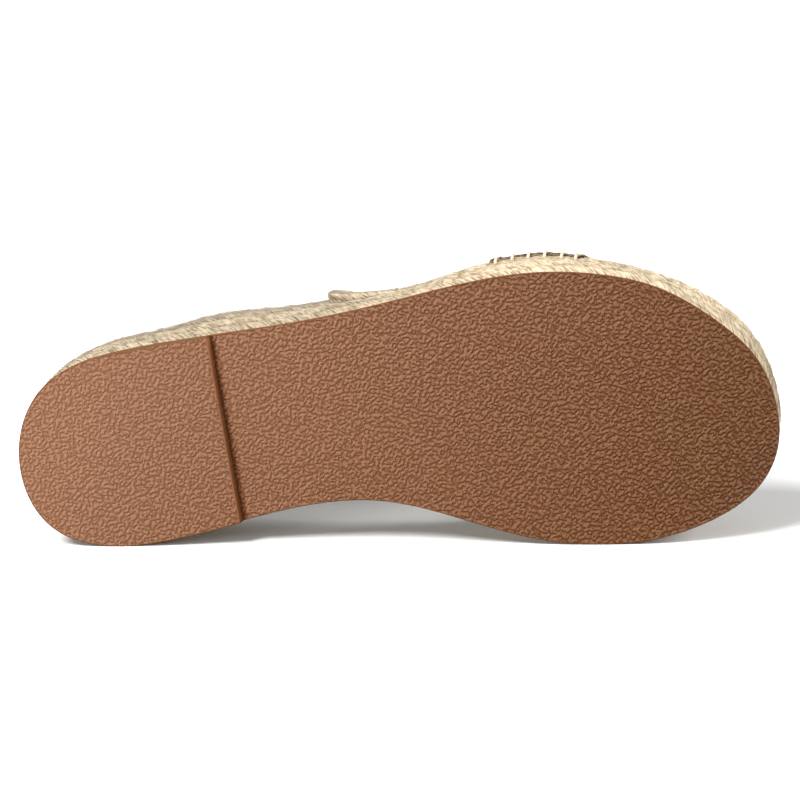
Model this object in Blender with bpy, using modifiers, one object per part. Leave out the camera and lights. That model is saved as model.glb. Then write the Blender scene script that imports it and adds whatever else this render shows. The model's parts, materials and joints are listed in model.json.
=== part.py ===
"""Espadrille platform slide for the right foot, lying on its inner side.

The sandal is worked out standing: x runs from the back of the heel to the toe, y to the wearer's
left, which is the inner side, and z up from the ground. An empty then lays it down, so that +X is
still towards the toe, +Y is the sandal's own up and +Z is its outer side.
"""

import math
from collections import namedtuple

import bmesh
import bpy
import numpy as np

MM = 0.001
GAP = 0.3 * MM

# Sole
SOLE_LENGTH = 255 * MM
OUTSOLE_THICKNESS = 4 * MM
OUTSOLE_EDGE_BEVEL = 0.7 * MM
HEEL_LIFT = 2.5 * MM
BREAST_STATION = 71.2 * MM
BREAST_LEAN = 3.6 * MM
BREAST_DRAFT = 0.6 * MM
BALL_REAR_STATION = 150 * MM
BALL_FRONT_STATION = 205 * MM
TOE_SPRING = 4 * MM
HEEL_RUNGS = 17
FOREPART_RUNGS = 29

# Jute platform, a wall of wound braids
PLATFORM_HEIGHT = 22 * MM
BRAID_ROWS = 3
BRAID_ROW_STEPS = 4
BRAID_CREST = 0.1 * MM
BRAID_GROOVE_DEPTH = 1.3 * MM

# End of the braid, which laps over the outer wall at the waist
TAIL_STATION = 105 * MM
TAIL_LENGTH = 23 * MM
TAIL_THICKNESS = 2.5 * MM
TAIL_TIP_THICKNESS = 0.9 * MM
TAIL_HEIGHT = 6.6 * MM
TAIL_SECTIONS = 9
TAIL_SIDES = 10

# Insole
INSOLE_INSET = 3 * MM
INSOLE_THICKNESS = 3 * MM
INSOLE_EDGE_ROUND = 0.9 * MM
INSOLE_RIM_STEPS = 3

# Band over the ball of the foot
BAND_WALL = 2.0 * MM
BAND_HEM_WALL = 2.6 * MM
BAND_HEM_SHARE = 0.13
BAND_HEM_STEP_SHARE = 0.02
BAND_FIELD_COLUMNS = 10
BAND_ARCH_STEPS = 46
BAND_PROUD = 0.2 * MM
BAND_INNER_BULGE = 1.6 * MM
BAND_BULGE_ANGLE = math.atan(math.sqrt(0.2))

# Plan of the tread: each edge's distance from the straight line that touches heel and ball inside
Edge = namedtuple("Edge", "station_mm inner_mm outer_mm")
OUTLINE = (
    Edge(0, 30.4, 30.4),
    Edge(8, 8.4, 53.9),
    Edge(22, 1.1, 64.0),
    Edge(38, 0.35, 68.4),
    Edge(70, 6.9, 73.4),
    Edge(100, 14.1, 77.9),
    Edge(125, 15.2, 83.2),
    Edge(150, 9.1, 89.2),
    Edge(175, 2.0, 93.1),
    Edge(195, 0.1, 92.6),
    Edge(215, 2.1, 88.2),
    Edge(235, 9.2, 76.2),
    Edge(248, 18.9, 62.8),
    Edge(255, 37.5, 37.5),
)

# How far the top of the outer wall stands out past the tread where the braid laps and where it pulls in
Swell = namedtuple("Swell", "station_mm out_mm")
OUTER_SWELL = (
    Swell(0, 0.0),
    Swell(10, -0.5),
    Swell(22, -1.3),
    Swell(35, -0.8),
    Swell(48, -0.55),
    Swell(68, 1.5),
    Swell(88, 0.55),
    Swell(113, -0.45),
    Swell(132, -1.85),
    Swell(155, -0.2),
    Swell(178, 0.4),
    Swell(206, -1.6),
    Swell(222, -1.1),
    Swell(236, 0.0),
    Swell(249, -0.5),
    Swell(255, 0.0),
)

# Sections of the band: where it meets the sole, where its crown is, and the form of its arch
BandSection = namedtuple(
    "BandSection", "outer_mm crown_mm inner_mm height_share inner_share outer_square inner_square"
)
BAND = (
    BandSection(159.5, 147, 160, 0.215, 0.45, 1.6, 2.2),
    BandSection(175.5, 175, 184, 0.172, 0.44, 1.8, 2.5),
    BandSection(191.5, 203, 207, 0.135, 0.43, 1.55, 2.7),
)

Paint = namedtuple("Paint", "red green blue roughness")
RUBBER_BROWN = Paint(0.27, 0.13, 0.072, 0.5)
JUTE_NATURAL = Paint(0.66, 0.53, 0.34, 0.9)
INSOLE_LINEN = Paint(0.56, 0.45, 0.31, 0.9)
CANVAS_BLACK = Paint(0.015, 0.015, 0.017, 0.85)


def curve_through(knots, values, at):
    """Natural cubic curve through the values at the knots, read at other places."""
    knots = np.asarray(knots, float)
    values = np.asarray(values, float)
    span = np.diff(knots)
    slope = np.diff(values) / span
    system = np.eye(len(knots))
    change = np.zeros(len(knots))
    for i in range(1, len(knots) - 1):
        system[i, i - 1] = span[i - 1]
        system[i, i] = 2 * (span[i - 1] + span[i])
        system[i, i + 1] = span[i]
        change[i] = 6 * (slope[i] - slope[i - 1])
    bend = np.linalg.solve(system, change)
    piece = np.clip(np.searchsorted(knots, at) - 1, 0, len(span) - 1)
    before = (knots[piece + 1] - at) / span[piece]
    after = 1 - before
    cubic = (before**3 - before) * bend[piece] + (after**3 - after) * bend[piece + 1]
    return before * values[piece] + after * values[piece + 1] + cubic * span[piece] ** 2 / 6


def smooth_step(value):
    """Rise from 0 to 1 with level ends."""
    value = np.clip(value, 0, 1)
    return value * value * (3 - 2 * value)


def turn_at(station):
    """Angle round the sole, 0 at the back of the heel and pi at the tip of the toe."""
    return np.arccos(np.clip(1 - 2 * np.asarray(station) / SOLE_LENGTH, -1, 1))


def station_at(turn):
    """Distance from the back of the heel for an angle round the sole."""
    return SOLE_LENGTH * (1 - np.cos(turn)) / 2


def table_at(rows, column, station):
    """A column of a table in millimetres, smoothly read at a station, in metres."""
    knots = turn_at(np.array([row.station_mm for row in rows]) * MM)
    values = [getattr(row, column) * MM for row in rows]
    return curve_through(knots, values, turn_at(station))


def rung_turns():
    """Angles of the rungs across the sole, with a close pair at the heel's breast."""
    breast = turn_at(BREAST_STATION)
    past_breast = turn_at(BREAST_STATION + BREAST_DRAFT)
    heel = np.linspace(0, breast, HEEL_RUNGS)
    forepart = np.linspace(past_breast, math.pi, FOREPART_RUNGS)
    return np.concatenate([heel, forepart])


TURNS = rung_turns()
STATIONS = station_at(TURNS)
LAST = len(TURNS) - 1
RING_RUNG = np.concatenate([np.arange(LAST + 1), np.arange(LAST - 1, 0, -1)])
RING_OUTER = np.concatenate([np.ones(LAST + 1), np.zeros(LAST - 1)])


def rise(station):
    """Height of the outsole's own sheet: up on the heel, down to the ball, up again at the toe."""
    heel = HEEL_LIFT * smooth_step((BALL_REAR_STATION - station) / (BALL_REAR_STATION - BREAST_STATION))
    toe_run = np.clip((station - BALL_FRONT_STATION) / (SOLE_LENGTH - BALL_FRONT_STATION), 0, 1)
    return heel + TOE_SPRING * toe_run**2


def plan_ring():
    """The tread's outline: out along the outer edge from heel to toe, back along the inner edge.

    Each rung leans, its inner end further forward, as the heel's breast does.
    """
    lean = BREAST_LEAN * (np.sin(TURNS) / math.sin(turn_at(BREAST_STATION))) ** 2
    outer_x = STATIONS - lean
    inner_x = STATIONS + lean
    outer = np.stack([outer_x, -table_at(OUTLINE, "outer_mm", outer_x)], axis=1)
    inner = np.stack([inner_x, -table_at(OUTLINE, "inner_mm", inner_x)], axis=1)
    return np.concatenate([outer, inner[LAST - 1 : 0 : -1]])


PLAN = plan_ring()


def outward(ring):
    """Unit vectors that point out of a ring that runs anticlockwise."""
    along = np.roll(ring, -1, axis=0) - np.roll(ring, 1, axis=0)
    along /= np.linalg.norm(along, axis=1)[:, None]
    return np.stack([along[:, 1], -along[:, 0]], axis=1)


def sole_ring(offset, height):
    """The plan moved outwards by an offset, at a height for each of its points."""
    xy = PLAN + outward(PLAN) * np.broadcast_to(offset, len(PLAN))[:, None]
    return np.column_stack([xy, np.broadcast_to(height, len(PLAN))])


def sole_loft(rings):
    """Skin over a stack of rings from the bottom up, with each end closed from rung to rung."""
    count = len(PLAN)
    faces = []
    for level in range(len(rings) - 1):
        low = level * count
        high = low + count
        for i in range(count):
            j = (i + 1) % count
            faces.append((low + i, low + j, high + j, high + i))
    top = (len(rings) - 1) * count
    for k in range(LAST):
        corners = list(dict.fromkeys((k, k + 1, count - k - 1, (count - k) % count)))
        faces.append(tuple(reversed(corners)))
        faces.append(tuple(top + corner for corner in corners))
    return np.concatenate(rings), faces


def add_part(name, vertices, faces, paint, collection):
    """A named object with its own painted material."""
    mesh = bpy.data.meshes.new(name)
    mesh.from_pydata([tuple(map(float, vertex)) for vertex in vertices], [], faces)
    mesh.update()
    part = bpy.data.objects.new(name, mesh)
    material = bpy.data.materials.new(name)
    material.use_nodes = True
    shader = material.node_tree.nodes["Principled BSDF"]
    shader.inputs["Base Color"].default_value = (paint.red, paint.green, paint.blue, 1)
    shader.inputs["Roughness"].default_value = paint.roughness
    shader.inputs["Metallic"].default_value = 0
    mesh.materials.append(material)
    collection.objects.link(part)
    return part


def add_outsole(collection):
    """Rubber sheet with a bevelled edge and a heel that steps down at its breast."""
    sheet = rise(STATIONS)
    tread = np.where(STATIONS <= BREAST_STATION, 0, sheet)[RING_RUNG]
    rings = [
        sole_ring(-OUTSOLE_EDGE_BEVEL, tread),
        sole_ring(0, tread + OUTSOLE_EDGE_BEVEL),
        sole_ring(0, (sheet + OUTSOLE_THICKNESS)[RING_RUNG]),
    ]
    return add_part("outsole", *sole_loft(rings), RUBBER_BROWN, collection)


def outer_swell(share):
    """Bulge of the outer wall for a share of its height, none at the bottom."""
    swell = table_at(OUTER_SWELL, "out_mm", STATIONS)[RING_RUNG]
    return swell * RING_OUTER * smooth_step(share)


def add_platform(collection):
    """Jute wall of stacked round braid rows on the outsole."""
    base = (rise(STATIONS) + OUTSOLE_THICKNESS + GAP)[RING_RUNG]
    steps = BRAID_ROWS * BRAID_ROW_STEPS
    rings = []
    for step in range(steps + 1):
        row_angle = math.pi * (step / BRAID_ROW_STEPS % 1)
        out = BRAID_CREST - BRAID_GROOVE_DEPTH * (1 - math.sin(row_angle))
        row = min(step // BRAID_ROW_STEPS, BRAID_ROWS)
        share = (row + (1 - math.cos(row_angle)) / 2) / BRAID_ROWS
        rings.append(sole_ring(out + outer_swell(share), base + share * PLATFORM_HEIGHT))
    return add_part("jute_platform", *sole_loft(rings), JUTE_NATURAL, collection)


def platform_top(station):
    """Height of the platform's top face."""
    return rise(station) + OUTSOLE_THICKNESS + GAP + PLATFORM_HEIGHT


def add_insole(collection):
    """Footbed set in from the edge, with a rounded upper rim."""
    base = (platform_top(STATIONS) + GAP)[RING_RUNG]
    rim_out = -INSOLE_INSET - INSOLE_EDGE_ROUND
    rim_base = base + INSOLE_THICKNESS - INSOLE_EDGE_ROUND
    rings = [sole_ring(-INSOLE_INSET, base)]
    for angle in np.linspace(0, math.pi / 2, INSOLE_RIM_STEPS):
        out = rim_out + INSOLE_EDGE_ROUND * math.cos(angle)
        rings.append(sole_ring(out, rim_base + INSOLE_EDGE_ROUND * math.sin(angle)))
    return add_part("insole", *sole_loft(rings), INSOLE_LINEN, collection)


def band_columns():
    """Places across the band's width, 0 at the rear edge and 1 at the front, close where the hems end."""
    hem_end = BAND_HEM_SHARE + BAND_HEM_STEP_SHARE
    field = np.linspace(hem_end, 1 - hem_end, BAND_FIELD_COLUMNS)
    hem = np.array([0, 0.5, 1]) * BAND_HEM_SHARE
    return np.concatenate([hem, field, 1 - hem[::-1]])


def band_column(across, field):
    """One number of the band's sections, read smoothly across its width."""
    knots = np.linspace(0, 1, len(BAND))
    return curve_through(knots, [getattr(section, field) for section in BAND], across)


def ball_bulge(angle):
    """Swelling of the inner side, sin(2a) cos(a)^4 brought to a peak of one, none at foot and crown."""
    shape = np.sin(2 * angle) * np.cos(angle) ** 4
    peak = math.sin(2 * BAND_BULGE_ANGLE) * math.cos(BAND_BULGE_ANGLE) ** 4
    return BAND_INNER_BULGE * shape / peak


def band_lining():
    """The band's inner face: an arch over the foot for each place across its width.

    Each arch is two quarter superellipses that meet at the crown, one down to each edge of the sole.
    Its foot follows the sole's edge, and its crown runs further back and forward than its feet.
    The inner side is squarer and swells over the joint of the big toe.
    """
    across = band_columns()[:, None]
    arch = np.linspace(0, math.pi, BAND_ARCH_STEPS + 1)[None, :]
    outer_half = np.cos(arch) >= 0
    inset = BAND_HEM_WALL - BAND_PROUD
    outer_x = band_column(across, "outer_mm") * MM
    inner_x = band_column(across, "inner_mm") * MM
    crown_x = band_column(across, "crown_mm") * MM
    outer_t = table_at(OUTLINE, "outer_mm", outer_x) - inset
    inner_t = table_at(OUTLINE, "inner_mm", inner_x) + inset
    crown_t = inner_t + (outer_t - inner_t) * band_column(across, "inner_share")
    square = np.where(outer_half, band_column(across, "outer_square"), band_column(across, "inner_square"))
    spread = np.abs(np.cos(arch)) ** (2 / square)
    foot_x = np.where(outer_half, outer_x, inner_x)
    foot_t = np.where(outer_half, outer_t, inner_t)
    x = crown_x + (foot_x - crown_x) * np.cos(arch) ** 2
    t = crown_t + (foot_t - crown_t) * spread - np.where(outer_half, 0, ball_bulge(math.pi - arch))
    crown_z = SOLE_LENGTH * band_column(across, "height_share") + INSOLE_THICKNESS
    z = platform_top(foot_x) + GAP + crown_z * np.sin(arch).clip(0) ** (2 / square)
    return np.stack([x, -t, z], axis=2)


def add_band(collection):
    """Canvas band, open in front, behind and underneath, with a folded hem along each free edge."""
    lining = band_lining()
    columns, steps = lining.shape[:2]
    index = np.arange(columns * steps).reshape(columns, steps)
    corners = (index[:-1, :-1], index[1:, :-1], index[1:, 1:], index[:-1, 1:])
    faces = np.stack([corner.ravel() for corner in corners], axis=1).tolist()
    band = add_part("upper_band", lining.reshape(-1, 3), faces, CANVAS_BLACK, collection)
    across = np.repeat(band_columns(), steps)
    in_hem = np.minimum(across, 1 - across) < BAND_HEM_SHARE + BAND_HEM_STEP_SHARE / 2
    hem = band.vertex_groups.new(name="wall")
    hem.add(np.flatnonzero(in_hem).tolist(), 1.0, "REPLACE")
    hem.add(np.flatnonzero(~in_hem).tolist(), BAND_WALL / BAND_HEM_WALL, "REPLACE")
    wall = band.modifiers.new("wall", "SOLIDIFY")
    wall.thickness = BAND_HEM_WALL
    wall.offset = 1
    wall.use_even_offset = True
    wall.use_quality_normals = True
    wall.vertex_group = hem.name
    band.data.shade_smooth()
    return band


def add_tail(collection):
    """Flattened rope end that lies on the top braid row and thins out towards the toe."""
    share = np.linspace(0, 1, TAIL_SECTIONS)[:, None]
    round_way = np.linspace(0, 2 * math.pi, TAIL_SIDES, endpoint=False)[None, :]
    x = TAIL_STATION + TAIL_LENGTH * share
    thickness = TAIL_THICKNESS + (TAIL_TIP_THICKNESS - TAIL_THICKNESS) * share
    wall = table_at(OUTLINE, "outer_mm", x) + table_at(OUTER_SWELL, "out_mm", x) + BRAID_CREST
    row_height = PLATFORM_HEIGHT / BRAID_ROWS
    t = wall + 2 * GAP + thickness * (1 + np.cos(round_way)) / 2
    z = platform_top(x) - row_height / 2 + TAIL_HEIGHT / 2 * np.sin(round_way)
    vertices = np.stack([np.broadcast_to(x, t.shape), -t, z], axis=2).reshape(-1, 3)
    index = np.arange(TAIL_SECTIONS * TAIL_SIDES).reshape(TAIL_SECTIONS, TAIL_SIDES)
    beside = np.roll(index, -1, axis=1)
    corners = (index[:-1], index[1:], beside[1:], beside[:-1])
    faces = np.stack([corner.ravel() for corner in corners], axis=1).tolist()
    faces.append(index[0].tolist())
    faces.append(index[-1, ::-1].tolist())
    tail = add_part("jute_braid_tail", vertices, faces, JUTE_NATURAL, collection)
    face_outwards(tail)
    return tail


def face_outwards(part):
    """Turns every face of a closed mesh to point out."""
    shape = bmesh.new()
    shape.from_mesh(part.data)
    bmesh.ops.recalc_face_normals(shape, faces=shape.faces)
    shape.to_mesh(part.data)
    shape.free()


def finished_points(part):
    """Corners of a part as its modifiers leave it, in the standing sandal's own frame."""
    evaluated = part.evaluated_get(bpy.context.evaluated_depsgraph_get())
    points = np.empty(len(evaluated.data.vertices) * 3)
    evaluated.data.vertices.foreach_get("co", points)
    return points.reshape(-1, 3)


def drop(points, roll):
    """Height of the lowest point when the sandal lies on its inner side, rolled about its length."""
    return float(np.min(points[:, 2] * math.sin(roll) - points[:, 1] * math.cos(roll)))


def resting_roll(sole_points, band_points):
    """Roll at which the sole's edge and the band come down to the same floor, by halving."""
    low = math.radians(-5)
    high = math.radians(5)
    for _ in range(50):
        middle = (low + high) / 2
        if drop(band_points, middle) < drop(sole_points, middle):
            low = middle
        else:
            high = middle
    return (low + high) / 2


def lay_down(parts, collection):
    """Parents the parts to an empty that lays them on the floor, with the box centred over the origin."""
    bpy.context.view_layer.update()
    points = {part.name: finished_points(part) for part in parts}
    sole_points = np.concatenate([points["outsole"], points["jute_platform"]])
    angle = resting_roll(sole_points, points["upper_band"]) - math.pi / 2
    every = np.concatenate(list(points.values()))
    turned_y = every[:, 1] * math.cos(angle) - every[:, 2] * math.sin(angle)
    turned_z = every[:, 1] * math.sin(angle) + every[:, 2] * math.cos(angle)
    pose = bpy.data.objects.new("sandal_pose", None)
    collection.objects.link(pose)
    pose.rotation_euler = (angle, 0, 0)
    pose.location = (
        -(every[:, 0].min() + every[:, 0].max()) / 2,
        -(turned_y.min() + turned_y.max()) / 2,
        -turned_z.min(),
    )
    for part in parts:
        part.parent = pose
    bpy.context.view_layer.update()


def main():
    for old in list(bpy.data.objects):
        bpy.data.objects.remove(old, do_unlink=True)
    collection = bpy.data.collections.new("espadrille_slide")
    bpy.context.scene.collection.children.link(collection)
    makers = (add_outsole, add_platform, add_insole, add_band, add_tail)
    parts = [make(collection) for make in makers]
    lay_down(parts, collection)


main()
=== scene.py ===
"""Platform slide with a jute wall, lying on its inner side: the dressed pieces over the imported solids.

Shapes are worked out in the sandal's own sizes: station is the distance from the back of the heel
towards the toe, out is the distance from the straight line that touches heel and ball on the inner
side, and height is the distance above the ground the sandal would stand on.
"""

import json
import math
from collections import namedtuple
from functools import partial

import bmesh
import bpy
import numpy as np
from mathutils import Matrix, Vector


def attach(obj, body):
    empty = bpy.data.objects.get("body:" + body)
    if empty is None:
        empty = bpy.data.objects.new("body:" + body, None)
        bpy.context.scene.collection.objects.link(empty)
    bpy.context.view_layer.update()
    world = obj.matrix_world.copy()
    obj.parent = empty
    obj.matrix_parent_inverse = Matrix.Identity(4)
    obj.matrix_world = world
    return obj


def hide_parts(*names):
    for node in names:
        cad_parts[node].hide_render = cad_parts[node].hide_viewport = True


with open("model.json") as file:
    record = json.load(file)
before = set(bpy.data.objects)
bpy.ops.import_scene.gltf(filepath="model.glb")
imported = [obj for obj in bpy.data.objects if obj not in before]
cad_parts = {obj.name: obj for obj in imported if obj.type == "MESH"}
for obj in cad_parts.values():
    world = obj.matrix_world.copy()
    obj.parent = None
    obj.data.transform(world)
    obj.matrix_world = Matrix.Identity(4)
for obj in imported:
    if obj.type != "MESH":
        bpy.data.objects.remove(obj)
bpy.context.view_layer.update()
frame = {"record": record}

bl_info = {
    "name": "Jute platform slide",
    "version": (1, 0, 0),
    "blender": (4, 5, 0),
    "location": "View3D > Sidebar > Sandal",
    "description": "Dresses the packed platform slide: grained outsole, braided jute wall, canvas band",
    "category": "Object",
}

MM = 0.001
BODY = "root"
SEED = 11

# Sole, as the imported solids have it
SOLE_LENGTH = 255 * MM
OUTSOLE_THICKNESS = 4 * MM
SIDE_DRAFT = 0.8 * MM
HEEL_LIFT = 2.5 * MM
BREAST_STATION = 71.2 * MM
BREAST_LEAN = 3.6 * MM
BREAST_DRAFT = 0.6 * MM
BALL_REAR_STATION = 150 * MM
BALL_FRONT_STATION = 205 * MM
TOE_SPRING = 4 * MM
GAP = 0.3 * MM
PLATFORM_HEIGHT = 22 * MM
BRAID_ROWS = 3
ROW_HEIGHT = PLATFORM_HEIGHT / BRAID_ROWS
BRAID_CREST = 0.1 * MM
INSOLE_INSET = 3 * MM
INSOLE_THICKNESS = 3 * MM
TAIL_STATION = 105 * MM
TAIL_LENGTH = 23 * MM
TAIL_THICKNESS = 2.5 * MM
TAIL_TIP_THICKNESS = 0.9 * MM
TAIL_HEIGHT = 6.6 * MM

# Band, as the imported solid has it
BAND_WALL = 2.0 * MM
BAND_HEM_WALL = 2.6 * MM
BAND_HEM_SHARE = 0.13
BAND_PROUD = 0.2 * MM
BAND_INNER_BULGE = 1.6 * MM
BAND_BULGE_ANGLE = math.atan(math.sqrt(0.2))
# Middle width and arch of the band, by which shares of it become millimetres
BAND_WIDTH_MM = 48
BAND_ARCH_MM = 150
# Hems: the step to their thicker wall, their rows of sewing and the grooves under these, as shares across
HEM_STEP = 0.024
HEM_SEWING = (0.05, BAND_HEM_SHARE - 0.022)
GROOVE_SHARE = 0.011
GROOVE_DEPTH = 0.3 * MM
# Stitches of a hem: their number, the first, the last and half of one as shares of the arch, and their thread
HEM_STITCHES = 56
HEM_STITCH_ENDS = (0.035, 0.965)
HEM_STITCH_HALF = 0.0062
HEM_STITCH_RISE_MM = 0.24
HEM_STITCH_DIVE_MM = 0.18
HEM_THREAD_HALF_WIDTH = 0.34 * MM
HEM_THREAD_HALF_DEPTH = 0.26 * MM
# Feet of the band: puckers between the thick stitches, and how thin the canvas is pressed
PUCKER_MM = 5.4
PUCKER_DEPTH = 0.28 * MM
PUCKER_START = 1.5 * MM
PUCKER_REACH = 5 * MM
FOOT_EDGE_MM = 0.5
FOOT_MIDDLE_MORE_MM = 1.7
FOOT_REACH = 7 * MM
# Mesh of the band: its edge as a share of its width, how near the arch goes to its feet in radians, how
# evenly its steps lie, a small step for slopes, and the width of the cloth's pattern
BAND_EDGE_SHARE = 0.027
ARCH_END = 0.002
ARCH_EVEN = 0.75
SMALL_STEP = 1e-4
BAND_PATTERN_WIDTH = 50 * MM

# Outsole: where the breast's face and the corner under it are cut, how dark the painted shade in that corner
# is from the breast forwards, and where the grain sets in, measured inwards from the rounded edge
FACE_SHARE = 0.8
CORNER_STEPS_MM = (0.0, 0.4, 0.9, 1.5, 2.2)
SHEET_START = 3.2 * MM
CORNER_SHADE = (0.35, 1.0, 0.85, 0.5, 0.3, 0.12)
GRAIN_START = -0.7 * MM
GRAIN_RISE = 0.9 * MM

# Core of the wall: rings from its foot to its top
CoreRing = namedtuple("CoreRing", "up_mm inset_mm")
CORE_RINGS = (
    CoreRing(0.1, 2.2),
    CoreRing(0.8, 0.9),
    CoreRing(4.5, 0.9),
    CoreRing(8.5, 0.9),
    CoreRing(12.5, 0.9),
    CoreRing(16.5, 0.9),
    CoreRing(20.4, 1.0),
    CoreRing(21.3, 3.0),
)
# Height that counts as one turn of a strand in the core's pattern
CORE_TURN = 15 * MM

# Rope at the wall's foot: its strands stand out most between waist and ball and are pressed flatter elsewhere
ROPE_STRANDS = 5
ROPE_STEPS = 1560
ROPE_SIDES = 22
ROPE_HALF_DEPTH = 2.0 * MM
ROPE_OVERLAP = 0.1 * MM
ROPE_LOBE_POWER = 0.45
ROPE_UNEVEN = 0.35
ROPE_PRESSED = 0.3
LOOSE_MIDDLE_MM = 140
LOOSE_REACH_MM = 45

# Plaits above it, pulled in where the band is sewn on
PLAIT_STEPS = 960
PLAIT_DIP = 0.15 * MM
PLAIT_HALF_DEPTH = 1.6 * MM
PLAIT_HALF_WIDTH = 2.5 * MM
PLAIT_OVERLAP = 0.2 * MM
PLAIT_UNEVEN = 0.5
PLAIT_WANDER = 0.15 * MM
UNDER_BAND_MM = (157, 194)
UNDER_BAND_FADE_MM = 4
PULLED_IN = 0.6 * MM

# Strands of the tail: where the hairpin starts behind the tail's end, half the distance between its two
# runs, the strand's half width and half depth, and the share of the tail's length that it reaches
TailStrand = namedtuple("TailStrand", "back_mm apart_mm half_width_mm half_depth_mm reach")
TAIL_STRANDS = (
    TailStrand(0.0, 2.05, 1.2, 1.25, 0.9),
    TailStrand(1.9, 0.75, 0.85, 1.0, 0.75),
)
# Form of the tail: the mound under the strands, how far these stand out at the fold and sink towards the toe,
# and their slow wave
TAIL_FOLD = 1.2 * MM
MOUND_SHARE = 0.8
MOUND_SUNK = 0.3 * MM
STRAND_PROUD = 0.5 * MM
STRAND_SUNK = 1.3 * MM
LOWER_RUN_SUNK = 0.5 * MM
SINK_START = 0.08
SINK_RUN = 0.6
STRAND_WAVE = 0.25 * MM
STRAND_WAVE_STEP = 2.6 * MM

# Loose fibres: how deep they start, and how far they keep from the floor
FIBRE_ROOT = 0.45 * MM
FIBRE_CLEARANCE = 0.2 * MM

# Hollows that a foot presses into the footbed
Hollow = namedtuple("Hollow", "station_mm reach_mm share")
HOLLOWS = (
    Hollow(38, 30, 1.0),
    Hollow(185, 34, 0.8),
)
HOLLOW_DEPTH = 0.75 * MM
HOLLOW_RIM = 1.5 * MM
HOLLOW_RUN = 17 * MM
INSOLE_ROUND = 1.1 * MM

# A stitch from its top on the band down to its end in the jute. On the band: share of its rise and distance
# from the canvas. On the jute: share of its drop and distance from the wall. Distances are in half threads
StitchOnBand = namedtuple("StitchOnBand", "rise lift")
STITCH_ON_BAND = (
    StitchOnBand(1.0, -1.0),
    StitchOnBand(0.97, -0.3),
    StitchOnBand(0.8, -0.2),
    StitchOnBand(0.6, -0.1),
    StitchOnBand(0.4, 0.1),
    StitchOnBand(0.22, 0.3),
    StitchOnBand(0.06, 0.5),
)
StitchOnJute = namedtuple("StitchOnJute", "drop lift")
STITCH_ON_JUTE = (
    StitchOnJute(0.12, 0.6),
    StitchOnJute(0.35, 0.6),
    StitchOnJute(0.6, 0.5),
    StitchOnJute(0.82, 0.2),
    StitchOnJute(0.95, -0.7),
    StitchOnJute(1.0, -1.8),
)
# Ends of a row of stitches from the band's edges, and how unevenly they are sewn
FIRST_STITCH = 2.6 * MM
LAST_STITCH = 0.4 * MM
STITCH_JITTER = 0.25 * MM
STITCH_RISE_JITTER = 0.04
STITCH_SWAY = 0.006
STITCH_FLATTEN = 0.6

# Two sets of ripples part the tread's grain, along and across the pebbles. Columns: ripples across a patch,
# how far they lie one way from 0 to 1, turn from the grain's heading in degrees, power that narrows the
# valleys, and depth
GrainRipples = namedtuple("GrainRipples", "ripples order turn_deg sharpness depth")
GRAIN = (
    GrainRipples(1.1, 0.35, 0, 1.5, 1.0),
    GrainRipples(1.0, 0.5, 90, 4.0, 0.65),
)
# Heading of the first set at the heel and at the toe, in degrees, and how softly the two sets blend
GRAIN_HEADING = (130, 85)
GRAIN_BLEND = 0.1

# How one number of a surface follows another: from at_low to at_high while the other goes from low to high
Range = namedtuple("Range", "low high at_low at_high")
# Directions on the tread, one towards the inner side of the toe and one towards its outer side, and what
# changes along them: colours, darker towards the toe partly as painted light falloff, and how dark the
# painted shade in the valleys is and how deep they are. Valleys lie below, so depth is negative
TOE_LINE = (1, 0, -0.7)
TOE_SHARE = Range(-0.14, 0.08, 0, 1)
TIP_SHARE = Range(0.085, 0.135, 0, 1)
OUTER_TOE_LINE = (1, 0, 2)
OUTER_TOE_DEPTH = Range(0.07, 0.13, 1, 1.25)
TOE_DEPTH = Range(0, 1, -0.6, -1)
TOE_DARK = Range(0, 1, 0.36, 0.66)
# Dust of the tread, painted shade in the corner under the breast, and the dullness and shine of its valleys
# and rim
DUST_SIZE = 24 * MM
DUST_SHARE = Range(0.45, 0.66, 0, 0.15)
CORNER_SHADE_SHARE = Range(0.03, 0.6, 0, 0.9)
VALLEY_DULL = Range(0, 1, 0.38, 0.65)
VALLEY_SHINE = Range(0.1, 0.8, 0.45, 0.04)
RIM_SHINE = Range(0, 1, 0.15, 1)
# Jute: light fibres, painted shade over the heel half, and a grey line of painted shade under the wall's
# crest
JUTE_BLOTCH = 4 * MM
JUTE_LIGHT = Range(0.5, 0.76, 0, 1)
JUTE_HEEL_SHADE = Range(-0.03, 0.05, 1, 0)
CREST_DROP = 2.6 * MM
CREST_SHADE = Range(0.4 * MM, 2.2 * MM, 0.75, 0)
# Woven cloth: length and width of a streak of uneven yarn, in threads, and its light threads
STREAK_LENGTH = 9
STREAK_WIDTH = 0.8
CLOTH_LIGHT = Range(0.05, 0.5, 0, 1)
# Twisted thread: its fuzz and its light plies
FUZZ_SIZE = 0.4 * MM
PLY_LIGHT = Range(0.1, 0.75, 0, 1)

# Plan of the tread: each edge's distance from the line that touches heel and ball on the inner side
Edge = namedtuple("Edge", "station_mm inner_mm outer_mm")
OUTLINE = (
    Edge(0, 30.4, 30.4),
    Edge(8, 8.4, 53.9),
    Edge(22, 1.1, 64.0),
    Edge(38, 0.35, 68.4),
    Edge(70, 6.9, 73.4),
    Edge(100, 14.1, 77.9),
    Edge(125, 15.2, 83.2),
    Edge(150, 9.1, 89.2),
    Edge(175, 2.0, 93.1),
    Edge(195, 0.1, 92.6),
    Edge(215, 2.1, 88.2),
    Edge(235, 9.2, 76.2),
    Edge(248, 18.9, 62.8),
    Edge(255, 37.5, 37.5),
)

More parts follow.
